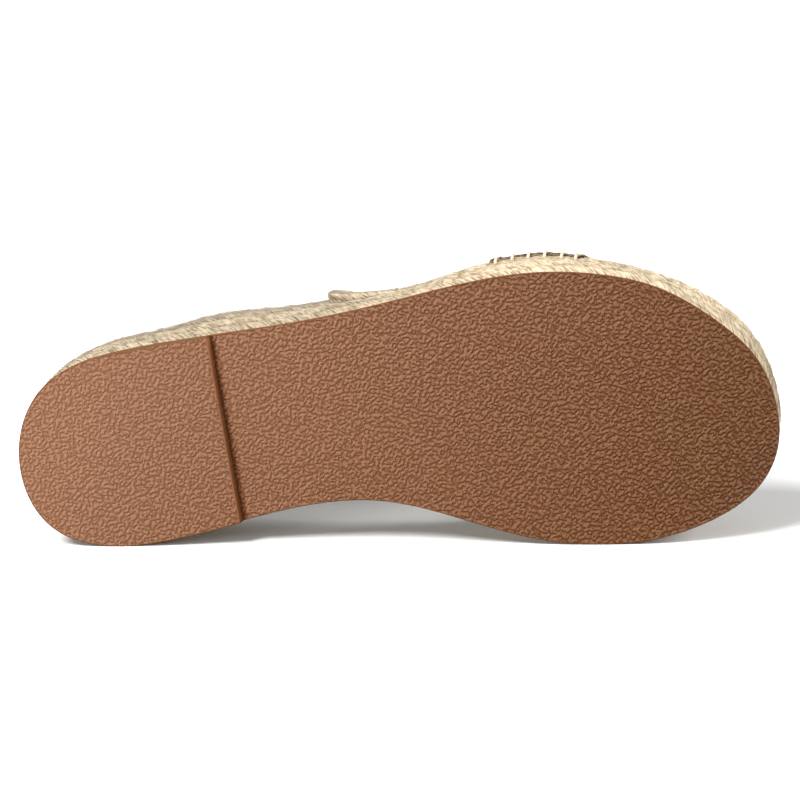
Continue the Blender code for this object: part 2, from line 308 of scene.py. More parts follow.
# How far the top of the outer wall stands out past the tread
Swell = namedtuple("Swell", "station_mm out_mm")
OUTER_SWELL = (
    Swell(0, 0.0),
    Swell(10, -0.5),
    Swell(22, -1.3),
    Swell(35, -0.8),
    Swell(48, -0.55),
    Swell(68, 1.5),
    Swell(88, 0.55),
    Swell(113, -0.45),
    Swell(132, -1.85),
    Swell(155, -0.2),
    Swell(178, 0.4),
    Swell(206, -1.6),
    Swell(222, -1.1),
    Swell(236, 0.0),
    Swell(249, -0.5),
    Swell(255, 0.0),
)

# Sections of the band: where it meets the sole, where its crown is, and the form of its arch
BandSection = namedtuple(
    "BandSection", "outer_mm crown_mm inner_mm height_share inner_share outer_square inner_square"
)
BAND = (
    BandSection(159.5, 147, 160, 0.215, 0.45, 1.6, 2.2),
    BandSection(175.5, 175, 184, 0.172, 0.44, 1.8, 2.5),
    BandSection(191.5, 203, 207, 0.135, 0.43, 1.55, 2.7),
)

# Soft folds of the band: the middle as shares across its width and round its arch, the direction from
# the arch line, half length, half width, and how far it stands up (a trough is negative)
Fold = namedtuple("Fold", "across arch turn_deg half_length_mm half_width_mm up_mm")
BAND_FOLDS = (
    Fold(0.22, 0.30, 24, 20, 3.6, -0.75),
    Fold(0.31, 0.32, 21, 19, 3.2, 0.55),
    Fold(0.70, 0.36, -16, 17, 3.4, -0.60),
    Fold(0.62, 0.37, -19, 17, 3.0, 0.45),
    Fold(0.28, 0.70, -20, 18, 3.5, -0.65),
    Fold(0.37, 0.69, -22, 17, 3.0, 0.50),
    Fold(0.76, 0.66, 17, 15, 3.2, -0.50),
    Fold(0.50, 0.52, 4, 24, 5.0, -0.40),
)


def linear(code):
    """Linear red, green and blue of an sRGB hex colour."""
    channels = [int(code[i : i + 2], 16) / 255 for i in (1, 3, 5)]
    return tuple(c / 12.92 if c <= 0.04045 else ((c + 0.055) / 1.055) ** 2.4 for c in channels)


def colour_setting(name, description, code):
    """A colour a user may change, from an sRGB hex value."""
    return bpy.props.FloatVectorProperty(
        name=name, description=description, subtype="COLOR", size=3, min=0, max=1, default=linear(code)
    )


def length_setting(name, description, value, low, high):
    """A length a user may change, in metres."""
    return bpy.props.FloatProperty(
        name=name, description=description, default=value, min=low, max=high, unit="LENGTH", precision=5
    )


def angle_setting(name, description, degrees):
    """An angle a user may change, given in degrees."""
    return bpy.props.FloatProperty(
        name=name, description=description, default=math.radians(degrees), subtype="ANGLE"
    )


class OutsoleSettings(bpy.types.PropertyGroup):
    """Sizes and colours of the rubber outsole."""

    # Heel and toe browns: partly the rubber's own tone, partly painted light falloff from heel to toe
    heel_colour: colour_setting("Heel rubber", "Brown of the rubber at the heel", "#90664D")
    toe_colour: colour_setting("Toe rubber", "Brown of the rubber at the toe", "#714A2F")
    tip_colour: colour_setting("Toe tip", "Duller brown at the very tip of the toe", "#62452E")
    # Painted shade: the darker brown laid in the valleys between the pebbles
    valley_shade_colour: colour_setting("Grain valleys", "Darker brown between the pebbles", "#512A12")
    olive_colour: colour_setting("Dusty patches", "Olive tinge of the forefoot", "#7C5B33")
    # Painted shade: the rim's darker brown stands for the shadow gap between tread and jute
    shaded_edge_colour: colour_setting("Moulded edge", "Darker brown of the smooth rim", "#6A4529")
    # Orange of the breast's smooth front, partly the rubber's own and partly painted light, lighter than it
    # would be in its shade
    breast_colour_and_light: colour_setting("Heel breast edge", "Orange brown of the smooth front of the heel", "#A06A48")
    # Painted shade: dark brown in the corner under the heel's breast
    corner_shade_colour: colour_setting("Dirt", "Dark brown in the corner under the heel's breast", "#643A20")
    shine_colour: colour_setting("Shine", "Warm tint of the light on the pebbles", "#FFE8D6")
    pebble_width: length_setting("Pebble width", "Width of a pebble of the grain", 1.66 * MM, 0.0005, 0.01)
    pebble_length: length_setting("Pebble length", "Length of a pebble of the grain", 2.6 * MM, 0.0005, 0.01)
    grain_depth: length_setting("Grain depth", "Depth of the valleys of the grain", 0.3 * MM, 0, 0.003)
    edge_round: length_setting("Edge rounding", "Radius of the tread's edge", 0.45 * MM, 0.0002, 0.002)
    breast_round: length_setting("Breast rounding", "Radius of the heel's front", 0.6 * MM, 0.0002, 0.002)


class JuteSettings(bpy.types.PropertyGroup):
    """Sizes and colours of the jute wall."""

    light_colour: colour_setting("Jute, light", "Cream of the jute's outer fibres", "#DAC7A8")
    shade_colour: colour_setting("Jute, dark", "Grey brown of the jute's deeper fibres", "#86704F")
    # Painted shade: a grey that darkens the wall's heel half
    heel_shade_colour: colour_setting("Jute, soiled", "Grey that soils the wall's heel half", "#D4D4D4")
    # Painted shade: grey line under the wall's crest, where the wall turns away from the light
    shaded_edge_colour: colour_setting("Jute, crest line", "Grey of a line under the wall's crest", "#746B60")
    strand_spacing: length_setting("Strand spacing", "Strands of the bottom rope", 3.1 * MM, 0.001, 0.01)
    strand_relief: length_setting("Strand relief", "Depth between the rope's strands", 0.6 * MM, 0, 0.002)
    plait_pitch: length_setting("Plait pitch", "Length of one full turn of the plait", 22 * MM, 0.005, 0.05)
    fibre_count: bpy.props.IntProperty(
        name="Loose fibres", description="Fibres that stand off the jute", default=3600, min=0, max=4500
    )
    fibre_thickness: length_setting("Fibre", "Half thickness of a loose fibre", 0.06 * MM, 1e-5, 0.0005)


class UpperSettings(bpy.types.PropertyGroup):
    """Sizes and colours of the band, its stitches and the insole."""

    canvas_colour: colour_setting("Canvas", "Black of the band", "#100E0C")
    canvas_thread_colour: colour_setting("Canvas thread", "Worn black of the raised threads", "#1D1916")
    stitch_colour: colour_setting("Stitch", "Cream of the thick cotton thread", "#DCCDB2")
    linen_colour: colour_setting("Insole linen", "Natural linen of the footbed", "#D2BE9C")
    linen_shade_colour: colour_setting("Insole linen, dark", "Darker threads of the linen", "#A8916C")
    stitch_spacing: length_setting("Stitch spacing", "Distance between stitches", 5.4 * MM, 0.002, 0.02)
    stitch_thickness: length_setting("Stitch thickness", "Diameter of the thread", 1.1 * MM, 0.0003, 0.003)
    stitch_rise: length_setting("Stitch rise", "Height of a stitch on the band", 11.5 * MM, 0.001, 0.02)
    stitch_drop: length_setting("Stitch drop", "Length of a stitch on the jute", 5.4 * MM, 0.001, 0.02)
    weave_spacing: length_setting("Weave", "Distance between canvas threads", 0.85 * MM, 0.0002, 0.005)


class StageSettings(bpy.types.PropertyGroup):
    """Camera, floor and light."""

    azimuth: angle_setting("Azimuth", "Camera's turn from the tread towards the toe", 8.458)
    elevation: angle_setting("Elevation", "Camera's height above the horizon", 14.913)
    roll: angle_setting("Roll", "Camera's tilt about its own axis", -2.796)
    distance: length_setting("Distance", "From the camera to the point it looks at", 1.00892, 0.2, 10)
    target: bpy.props.FloatVectorProperty(
        name="Target", description="Point the camera looks at", size=3, subtype="TRANSLATION",
        default=(0.003545, -0.043152, 0.050654)
    )
    lens: bpy.props.FloatProperty(
        name="Lens", description="Focal length on a 36 mm sensor", default=137.7, min=10, max=400,
        unit="CAMERA"
    )
    floor_colour: colour_setting("Floor", "Pale paper floor", "#F6F6F5")


# Form of the sole
def curve_through(knots, values, at):
    """Natural cubic curve through the values at the knots, read at other places."""
    knots = np.asarray(knots, float)
    values = np.asarray(values, float)
    span = np.diff(knots)
    slope = np.diff(values) / span
    system = np.eye(len(knots))
    change = np.zeros(len(knots))
    inside = np.arange(1, len(knots) - 1)
    system[inside, inside - 1] = span[:-1]
    system[inside, inside] = 2 * (span[:-1] + span[1:])
    system[inside, inside + 1] = span[1:]
    change[inside] = 6 * np.diff(slope)
    bend = np.linalg.solve(system, change)
    piece = np.clip(np.searchsorted(knots, at) - 1, 0, len(span) - 1)
    before = (knots[piece + 1] - at) / span[piece]
    after = 1 - before
    cubic = (before**3 - before) * bend[piece] + (after**3 - after) * bend[piece + 1]
    return before * values[piece] + after * values[piece + 1] + cubic * span[piece] ** 2 / 6


def smooth_step(value):
    """Rise from 0 to 1 with level ends."""
    value = np.clip(value, 0, 1)
    return value * value * (3 - 2 * value)


def stacked(*values):
    """Numbers of matching shapes, stacked as the coordinates of points."""
    return np.stack(np.broadcast_arrays(*values), axis=-1)


def unit(vectors):
    """Vectors brought to length one."""
    return vectors / np.maximum(np.linalg.norm(vectors, axis=-1, keepdims=True), 1e-12)


def turn_at(station):
    """Angle round the sole, 0 at the back of the heel and pi at the tip of the toe."""
    return np.arccos(np.clip(1 - 2 * np.asarray(station) / SOLE_LENGTH, -1, 1))


def station_at(turn):
    """Distance from the back of the heel for an angle round the sole."""
    return SOLE_LENGTH * (1 - np.cos(turn)) / 2


def table_at(rows, column, station):
    """A column of a table in millimetres, smoothly read at a station, in metres."""
    knots = turn_at(np.array([row.station_mm for row in rows]) * MM)
    values = [getattr(row, column) * MM for row in rows]
    return curve_through(knots, values, turn_at(station))


def rise(station):
    """Height of the outsole's own sheet: up on the heel, down to the ball, up again at the toe."""
    heel = HEEL_LIFT * smooth_step((BALL_REAR_STATION - station) / (BALL_REAR_STATION - BREAST_STATION))
    toe_run = np.clip((station - BALL_FRONT_STATION) / (SOLE_LENGTH - BALL_FRONT_STATION), 0, 1)
    return heel + TOE_SPRING * toe_run**2


def platform_base(station):
    """Height of the jute wall's foot."""
    return rise(station) + OUTSOLE_THICKNESS + GAP


def platform_top(station):
    """Height of the jute wall's top."""
    return platform_base(station) + PLATFORM_HEIGHT


# The mount under the ball says where the laid sandal's ground is and which way it faces
BALL_MOUNT = next(mount for mount in frame["record"]["mounts"] if mount["name"] == "tread_forefoot")
BALL_POINT = np.array(BALL_MOUNT["pos_m"])
BALL_STATION = 180 * MM
BALL_OUT = 46 * MM
TOEWARDS = np.array([1.0, 0.0, 0.0])
UPWARDS = -np.array(BALL_MOUNT["axis"], float)
OUTWARDS = np.cross(TOEWARDS, UPWARDS)


def laid_down(points):
    """Points as station, out and height, turned into the laid sandal's frame and kept above the floor."""
    station = points[..., 0:1] - BALL_STATION
    out = points[..., 1:2] - BALL_OUT
    laid = BALL_POINT + station * TOEWARDS + out * OUTWARDS + points[..., 2:3] * UPWARDS
    laid[..., 2] = np.maximum(laid[..., 2], 0)
    return laid


# Edge line of the sole at even steps: out along the outer side from heel to toe, back along the inner
EdgeLine = namedtuple("EdgeLine", "along station out station_normal out_normal outer length")
EDGE_SAMPLES = 1600
EDGE_STEPS = 2400


def even_edge_line():
    """The closed edge line, measured along its length, with the direction that points out of it."""
    station = station_at(np.linspace(0, math.pi, EDGE_SAMPLES))
    outer = np.stack([station, table_at(OUTLINE, "outer_mm", station)], axis=1)
    inner = np.stack([station, table_at(OUTLINE, "inner_mm", station)], axis=1)[::-1]
    line = np.concatenate([outer, inner[1:]])
    along = np.concatenate([[0], np.cumsum(np.linalg.norm(np.diff(line, axis=0), axis=1))])
    length = along[-1]
    even = np.arange(EDGE_STEPS) / EDGE_STEPS * length
    ring = np.stack([np.interp(even, along, line[:, axis]) for axis in (0, 1)], axis=1)
    step = np.roll(ring, -1, axis=0) - np.roll(ring, 1, axis=0)
    step = unit(step)
    outer_share = np.interp(even, along, np.repeat([1.0, 0.0], [len(outer), len(inner) - 1]))
    return EdgeLine(even, ring[:, 0], ring[:, 1], -step[:, 1], step[:, 0], outer_share, length)


EDGE = even_edge_line()


def edge_read(column, along):
    """A column of the edge line at any distance along it, round and round."""
    return np.interp(along, EDGE.along, getattr(EDGE, column), period=EDGE.length)


def wall_direction(along):
    """Direction that points straight out of the wall."""
    return unit(stacked(edge_read("station_normal", along), edge_read("out_normal", along), 0.0))


def wall_point(along, share, proud):
    """A point of the jute wall: distance along its edge, share of its height, distance outside its crest.

    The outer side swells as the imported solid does, from nothing at its foot to the whole at its top.
    """
    along, share, proud = np.broadcast_arrays(along, share, proud)
    station = edge_read("station", along)
    swell = table_at(OUTER_SWELL, "out_mm", station) * edge_read("outer", along) * smooth_step(share)
    height = platform_base(station) + share * PLATFORM_HEIGHT
    foot = stacked(station, edge_read("out", along), height)
    return foot + wall_direction(along) * (BRAID_CREST + swell + proud)[..., None]


def along_outer(station):
    """Distance along the edge line of a station on the outer side."""
    half = EDGE.station[EDGE.outer > 0.5]
    return np.interp(station, half, EDGE.along[EDGE.outer > 0.5])


def wander(along, cycles, phases):
    """Slow unevenness along the edge: a sum of sines that closes on itself, between about -1 and 1."""
    angle = 2 * math.pi * along[..., None] / EDGE.length * np.asarray(cycles) + np.asarray(phases)
    return np.sin(angle).sum(axis=-1) / len(cycles)


# Meshes
Skin = namedtuple("Skin", "points faces corners tones")
WELD_DISTANCE = 1e-6
ROUND_END = 0.7


def skin(grid, wrap_rows=False, wrap_columns=False, corners=None, tone=None):
    """Four-cornered faces between neighbours of a grid of points.

    The grid is rows by columns by three, or a batch of such grids. Corners are texture coordinates, with
    one more row or column where the grid closes on itself, and tone is a number for each point.
    """
    if grid.ndim == 3:
        grid = grid[None]
        corners = None if corners is None else corners[None]
        tone = None if tone is None else tone[None]
    batch, rows, columns = grid.shape[:3]
    row = np.arange(rows if wrap_rows else rows - 1)
    column = np.arange(columns if wrap_columns else columns - 1)
    which, row, column = np.meshgrid(np.arange(batch), row, column, indexing="ij")
    row_ends = (row, row + 1, row + 1, row)
    column_ends = (column, column, column + 1, column + 1)
    index = [
        (which * rows + r % rows) * columns + c % columns for r, c in zip(row_ends, column_ends)
    ]
    faces = np.stack(index, axis=-1).reshape(-1, 4)
    if corners is None:
        placed = np.zeros((len(faces), 4, 2))
    else:
        placed = np.stack([corners[which, r, c] for r, c in zip(row_ends, column_ends)], axis=-2)
        placed = placed.reshape(-1, 4, 2)
    tones = np.zeros(batch * rows * columns) if tone is None else np.asarray(tone, float).ravel()
    return Skin(grid.reshape(-1, 3), faces, placed, tones)


def add_piece(name, skins, material, replaced):
    """Joins skins to one closed mesh, turns its faces out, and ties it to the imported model."""
    starts = np.cumsum([0] + [len(part.points) for part in skins])
    points = laid_down(np.concatenate([part.points for part in skins]))
    faces = np.concatenate([part.faces + start for part, start in zip(skins, starts)])
    corners = np.concatenate([part.corners for part in skins])
    tones = np.concatenate([part.tones for part in skins])
    mesh = bpy.data.meshes.new(name)
    mesh.vertices.add(len(points))
    mesh.vertices.foreach_set("co", points.astype(np.float32).ravel())
    mesh.loops.add(faces.size)
    mesh.loops.foreach_set("vertex_index", faces.astype(np.int32).ravel())
    mesh.polygons.add(len(faces))
    mesh.polygons.foreach_set("loop_start", np.arange(0, faces.size, 4, dtype=np.int32))
    mesh.update(calc_edges=True)
    mesh.uv_layers.new(name="run").data.foreach_set("uv", corners.astype(np.float32).ravel())
    mesh.attributes.new("tone", "FLOAT", "POINT").data.foreach_set("value", tones.astype(np.float32))
    shape = bmesh.new()
    shape.from_mesh(mesh)
    bmesh.ops.remove_doubles(shape, verts=shape.verts, dist=WELD_DISTANCE)
    bmesh.ops.recalc_face_normals(shape, faces=shape.faces)
    shape.to_mesh(mesh)
    shape.free()
    mesh.shade_smooth()
    mesh.materials.append(material)
    piece = bpy.data.objects.new(name, mesh)
    bpy.context.scene.collection.objects.link(piece)
    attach(piece, BODY)
    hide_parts(*replaced)
    return piece


def path_direction(path, closed):
    """Direction of travel along a path of points, from each point's two neighbours."""
    if closed:
        return unit(np.roll(path, -1, axis=-2) - np.roll(path, 1, axis=-2))
    return unit(np.gradient(path, axis=-2))


def path_lengths(path, closed):
    """Distance travelled at each point of a path, and at its start again if it closes."""
    ahead = np.concatenate([path, path[..., :1, :]], axis=-2) if closed else path
    steps = np.linalg.norm(np.diff(ahead, axis=-2), axis=-1)
    start = np.zeros(steps.shape[:-1] + (1,))
    return np.concatenate([start, np.cumsum(steps, axis=-1)], axis=-1)


def cord_skin(path, side, half_width, half_depth, sides, closed=False):
    """An ellipse carried along a path: half_depth towards the side direction, half_width across it.

    Open ends are rounded off by two smaller ellipses, the last of them a point. The texture coordinates
    are the distance along the path and the share of a turn round it, starting at the hidden back.
    """
    path = path[None] if path.ndim == 2 else path
    side = np.broadcast_to(side, path.shape)
    count = path.shape[-2]
    swell = np.ones(count)
    half_width = np.broadcast_to(half_width, path.shape[:-1])
    half_depth = np.broadcast_to(half_depth, path.shape[:-1])
    if not closed:
        first, last = path[..., :1, :], path[..., -1:, :]
        before = unit(first - path[..., 1:2, :]) * half_depth[..., :1, None]
        after = unit(last - path[..., -2:-1, :]) * half_depth[..., -1:, None]
        start = [first + before, first + ROUND_END * before]
        finish = [last + ROUND_END * after, last + after]
        path = np.concatenate([*start, path, *finish], axis=-2)
        pad = [(0, 0)] * (path.ndim - 2) + [(2, 2)]
        side = np.pad(side, pad + [(0, 0)], mode="edge")
        half_width = np.pad(half_width, pad, mode="edge")
        half_depth = np.pad(half_depth, pad, mode="edge")
        swell = np.concatenate([[0, ROUND_END], swell, [ROUND_END, 0]])
    forward = path_direction(path, closed)
    facing = unit(side - (side * forward).sum(axis=-1, keepdims=True) * forward)
    across = np.cross(forward, facing)
    turn = math.pi + 2 * math.pi * np.arange(sides) / sides
    depth = (half_depth * swell)[..., None, None] * np.cos(turn)[:, None] * facing[..., None, :]
    width = (half_width * swell)[..., None, None] * np.sin(turn)[:, None] * across[..., None, :]
    grid = path[..., None, :] + depth + width
    travelled = path_lengths(path, closed)
    share = np.arange(sides + 1) / sides
    corners = stacked(travelled[..., None], share)
    return skin(grid, wrap_rows=closed, wrap_columns=True, corners=corners)


# Flat sole pieces: rungs across the sole, each with an outer and an inner end
def rung_ring(turns):
    """Outline of the tread from rung ends, out along the outer side and back along the inner.

    Each rung leans, its inner end further forward, as the heel's breast does.
    """
    station = station_at(turns)
    lean = BREAST_LEAN * (np.sin(turns) / math.sin(turn_at(BREAST_STATION))) ** 2
    outer_station = station - lean
    inner_station = station + lean
    outer = np.stack([outer_station, table_at(OUTLINE, "outer_mm", outer_station)], axis=1)
    inner = np.stack([inner_station, table_at(OUTLINE, "inner_mm", inner_station)], axis=1)
    return np.concatenate([outer, inner[-2:0:-1]])


def ring_values(values):
    """A value for each rung, spread over the ring's two ends of it."""
    return np.concatenate([values, values[-2:0:-1]])


def moved_ring(ring, offset, height):
    """A ring of the outline moved out by an offset, at a height for each of its points."""
    step = unit(np.roll(ring, -1, axis=0) - np.roll(ring, 1, axis=0))
    normal = np.stack([-step[:, 1], step[:, 0]], axis=1)
    moved = ring + normal * np.broadcast_to(offset, len(ring))[:, None]
    return np.column_stack([moved, np.broadcast_to(height, len(ring))])


def rung_grid(ring, columns):
    """Points along every rung of a ring, close together near its two ends."""
    last = len(ring) // 2
    outer = ring[: last + 1]
    inner = np.concatenate([ring[:1], ring[:last - 1:-1]])
    share = (1 - np.cos(np.linspace(0, math.pi, columns)))[None, :, None] / 2
    return outer[:, None] + (inner - outer)[:, None] * share


def edge_distance(points, ring):
    """Distance of points in plan from the nearest point of a ring."""
    flat = points[..., :2].reshape(-1, 1, 2)
    away = np.concatenate([
        np.linalg.norm(block - ring[None, :, :2], axis=-1).min(axis=1) for block in np.array_split(flat, 24)
    ])
    return away.reshape(points.shape[:-1])


def outsole_skins(settings):
    """Rubber sheet with a heel that steps down at its breast.

    Along the sole the tread runs level to the breast, turns through a quarter circle, drops to the
    sheet and follows its rise. Round the edge it turns up through a quarter circle into the side.
    The tone is 1 where the grain is full, 0 on smooth edges and -1 on the breast's thin front edge. The
    first texture coordinate is 1 in the corner under the breast, where shade is painted in.
    """
    round_off = settings.breast_round
    bend = np.linspace(0, math.pi / 2, 6)[1:]
    heel_turns = np.linspace(0, turn_at(BREAST_STATION - round_off), 84)
    bend_turns = turn_at(BREAST_STATION - round_off + round_off * np.sin(bend))
    foot = BREAST_STATION + BREAST_DRAFT
    face_turn = turn_at(np.array([BREAST_STATION + FACE_SHARE * BREAST_DRAFT]))
    corner_turns = turn_at(foot + np.array(CORNER_STEPS_MM) * MM)
    fore_turns = np.linspace(turn_at(foot + SHEET_START), math.pi, 146)
    sheet_turns = np.concatenate([corner_turns, fore_turns])
    turns = np.concatenate([heel_turns, bend_turns, face_turn, sheet_turns])
    sheet = rise(station_at(turns))
    face_rise = round_off + FACE_SHARE * (rise(foot) - round_off)
    tread = np.concatenate([
        np.zeros(len(heel_turns)), round_off * (1 - np.cos(bend)), [face_rise], rise(station_at(sheet_turns))
    ])
    ring = rung_ring(turns)
    tread_ring = ring_values(tread)
    top_ring = ring_values(sheet + OUTSOLE_THICKNESS)
    edge = settings.edge_round
    lower = [
        moved_ring(ring, edge * (math.sin(a) - 1), tread_ring + edge * (1 - math.cos(a)))
        for a in np.linspace(0, math.pi / 2, 5)
    ]
    upper = [
        moved_ring(ring, edge / 2 * (math.cos(a) - 1) - SIDE_DRAFT, top_ring - edge / 2 * (1 - math.sin(a)))
        for a in np.linspace(0, math.pi / 2, 4)
    ]
    side = np.stack(lower + upper)
    tread_face = rung_grid(lower[0], 44)
    away = edge_distance(tread_face, lower[0])
    amount = smooth_step((away - GRAIN_START) / GRAIN_RISE)
    first_bend = len(heel_turns)
    first_sheet = first_bend + len(bend) + 1
    # Rungs of the breast's front, whose colour is partly painted light
    breast_face = np.zeros(len(turns))
    breast_face[first_bend:first_sheet] = 1
    amount = np.where(breast_face[:, None] > 0, -1.0, amount)
    # Share of painted shade in the corner under the breast, strongest just ahead of its foot
    painted_corner_shade = np.zeros(len(turns))
    painted_corner_shade[first_sheet - 1 : first_sheet - 1 + len(CORNER_SHADE)] = CORNER_SHADE
    painted_corner_shade = np.broadcast_to(painted_corner_shade[:, None], amount.shape)
    top_face = rung_grid(upper[-1], 10)
    return [
        skin(side, wrap_columns=True),
        skin(tread_face, tone=amount, corners=np.stack([painted_corner_shade, amount], axis=-1)),
        skin(top_face),
    ]


def core_skins():
    """Plain body behind the ropes: the wall set in, from just above the outsole to just below the insole.

    It follows the wall's swell, so that it shows only in the joints between the rows.
    """
    turns = np.linspace(0, math.pi, 160)
    station = station_at(turns)
    ring = rung_ring(turns)
    outer = np.arange(len(ring)) < len(turns)
    swell = table_at(OUTER_SWELL, "out_mm", ring[:, 0]) * outer
    base = ring_values(platform_base(station))
    up, inset = np.array(CORE_RINGS).T * MM
    rings = np.stack([
        moved_ring(ring, swell * smooth_step(level / PLATFORM_HEIGHT) - behind, base + level)
        for level, behind in zip(up, inset)
    ])
    along = path_lengths(ring, True)
    corners = stacked(along[None, :], (up / CORE_TURN)[:, None])
    walls = skin(rings, wrap_columns=True, corners=corners)
    return [walls, skin(rung_grid(rings[0], 8)), skin(rung_grid(rings[-1], 8))]


def rope_skin(settings):
    """Bottom row of the wall: a laid rope pressed flat, an ellipse with lobes carried round the edge.

    The lobes are the rope's strands. Their angle goes on with the distance along, so that they lean
    over to the toe downwards, and each lobe is a half sine, deep in the joints between strands.
    """
    turns = round(EDGE.length / (ROPE_STRANDS * settings.strand_spacing))
    along = np.arange(ROPE_STEPS) / ROPE_STEPS * EDGE.length
    angle = math.pi + 2 * math.pi * np.arange(ROPE_SIDES) / ROPE_SIDES
    uneven = ROPE_UNEVEN * wander(along, (7, 13, 19), (0.3, 1.7, 4.1))
    phase = angle[None, :] + (2 * math.pi * turns * along / EDGE.length + uneven)[:, None]
    lobe = np.abs(np.cos(ROPE_STRANDS * phase / 2)) ** ROPE_LOBE_POWER
    from_loosest = (edge_read("station", along) / MM - LOOSE_MIDDLE_MM) / LOOSE_REACH_MM
    loose = ROPE_PRESSED + (1 - ROPE_PRESSED) * np.exp(-(from_loosest**4))
    drop = settings.strand_relief * loose[:, None] * (1 - lobe)
    middle = wall_point(along, 0.5 / BRAID_ROWS, -ROPE_HALF_DEPTH)
    depth = (ROPE_HALF_DEPTH - drop) * np.cos(angle)
    height = (ROW_HEIGHT / 2 + ROPE_OVERLAP - drop) * np.sin(angle)
    grid = middle[:, None] + wall_direction(along)[:, None] * depth[..., None]
    grid = grid + np.array([0, 0, 1.0]) * height[..., None]
    ahead = np.append(along, EDGE.length)
    round_share = np.arange(ROPE_SIDES + 1) / ROPE_SIDES
    strand_share = ROPE_STRANDS * (round_share[None, :] + turns * (ahead / EDGE.length)[:, None])
    corners = stacked(ahead[:, None], strand_share)
    return skin(grid, wrap_rows=True, wrap_columns=True, corners=corners)


def plait_paths(along, middle, out, pitch, swing, start, uneven):
    """Middle lines of three plaited strands.

    Each swings up and down as a sine of the distance along, a third of a turn after the last, and goes
    out and in as a sine of twice that angle, so that the strands pass over and under each other.
    """
    angle = 2 * math.pi * (along / pitch + np.arange(3)[:, None] / 3) + start + uneven
    height = (swing * np.sin(angle))[..., None] * np.array([0, 0, 1.0])
    return middle + height + (PLAIT_DIP * np.sin(2 * angle))[..., None] * out


def plait_skin(settings, row, start):
    """An upper row of the wall: a flat three-strand plait wound round the edge, pulled in under the band."""
    along = np.arange(PLAIT_STEPS) / PLAIT_STEPS * EDGE.length
    pitch = EDGE.length / round(EDGE.length / settings.plait_pitch)
    out = wall_direction(along)
    swing = ROW_HEIGHT / 2 - PLAIT_HALF_WIDTH + PLAIT_OVERLAP
    uneven = PLAIT_UNEVEN * wander(along, (5, 11, 17, 23), (0.4 + row, 2.2, 5.1 * row, 3.3))
    station_mm = edge_read("station", along) / MM
    rear, front = UNDER_BAND_MM
    past_rear = smooth_step((station_mm - rear) / UNDER_BAND_FADE_MM)
    under_band = past_rear * smooth_step((front - station_mm) / UNDER_BAND_FADE_MM)
    in_top_row = (edge_read("outer", along) > 0.5) * (row == BRAID_ROWS - 1)
    proud = PLAIT_WANDER * uneven - PLAIT_DIP - PLAIT_HALF_DEPTH - PULLED_IN * under_band * in_top_row
    middle = wall_point(along, (row + 0.5) / BRAID_ROWS, proud)
    paths = plait_paths(along, middle, out, pitch, swing, start, uneven)
    return cord_skin(paths, out, PLAIT_HALF_WIDTH, PLAIT_HALF_DEPTH, 9, closed=True)


def tail_skins():
    """End of the braid: two strands that come back along the top row, fold over and go in again.

    Each strand is a hairpin, two straight runs joined by a half circle. It stands out most at the fold and
    sinks into the row towards the toe. A low mound, half an ellipse, fills the row under them.
    """
    share = np.linspace(0, 1, 25)[:, None]
    turn = 2 * math.pi * np.arange(24)[None, :] / 24
    station = TAIL_STATION + TAIL_FOLD + (TAIL_LENGTH - TAIL_FOLD) * share
    fall = 1 - smooth_step(share)
    depth = (TAIL_TIP_THICKNESS + (TAIL_THICKNESS - TAIL_TIP_THICKNESS) * fall) * MOUND_SHARE
    height = -ROW_HEIGHT / 2 + TAIL_HEIGHT / 2 * np.sin(turn)
    proud = -MOUND_SUNK + depth * np.cos(turn)
    mound = wall_point(along_outer(station), 1 + height / PLATFORM_HEIGHT, proud)
    corners = stacked(share * TAIL_LENGTH, np.arange(25)[None, :] / 24)
    centre = np.repeat(mound.mean(axis=1, keepdims=True), mound.shape[1], axis=1)
    mound = np.concatenate([centre[:1], mound, centre[-1:]])
    corners = np.concatenate([corners[:1], corners, corners[-1:]])
    skins = [skin(mound, wrap_columns=True, corners=corners)]
    for strand in TAIL_STRANDS:
        run = TAIL_LENGTH * strand.reach
        bend = np.linspace(math.pi / 2, 3 * math.pi / 2, 15)
        straight = np.linspace(1, 0, 26)[:-1] * run
        level = np.ones(len(straight))
        forward = np.concatenate([straight, strand.apart_mm * MM * np.cos(bend), straight[::-1]])
        up = np.concatenate([level, np.sin(bend), -level]) * strand.apart_mm * MM
        forward = forward + TAIL_STATION + (strand.back_mm + strand.apart_mm + strand.half_width_mm) * MM
        sink = smooth_step((forward - TAIL_STATION - SINK_START * run) / (SINK_RUN * run))
        standing = TAIL_THICKNESS + STRAND_PROUD - strand.half_depth_mm * MM
        proud = standing * (1 - sink) - STRAND_SUNK * sink - LOWER_RUN_SUNK * (up < 0)
        wave = STRAND_WAVE * np.sin(forward / STRAND_WAVE_STEP)
        path = wall_point(along_outer(forward), 1 + (up - ROW_HEIGHT / 2 + wave) / PLATFORM_HEIGHT, proud)
        side = wall_direction(along_outer(forward))
        skins.append(cord_skin(path, side, strand.half_width_mm * MM, strand.half_depth_mm * MM, 10))
    return skins


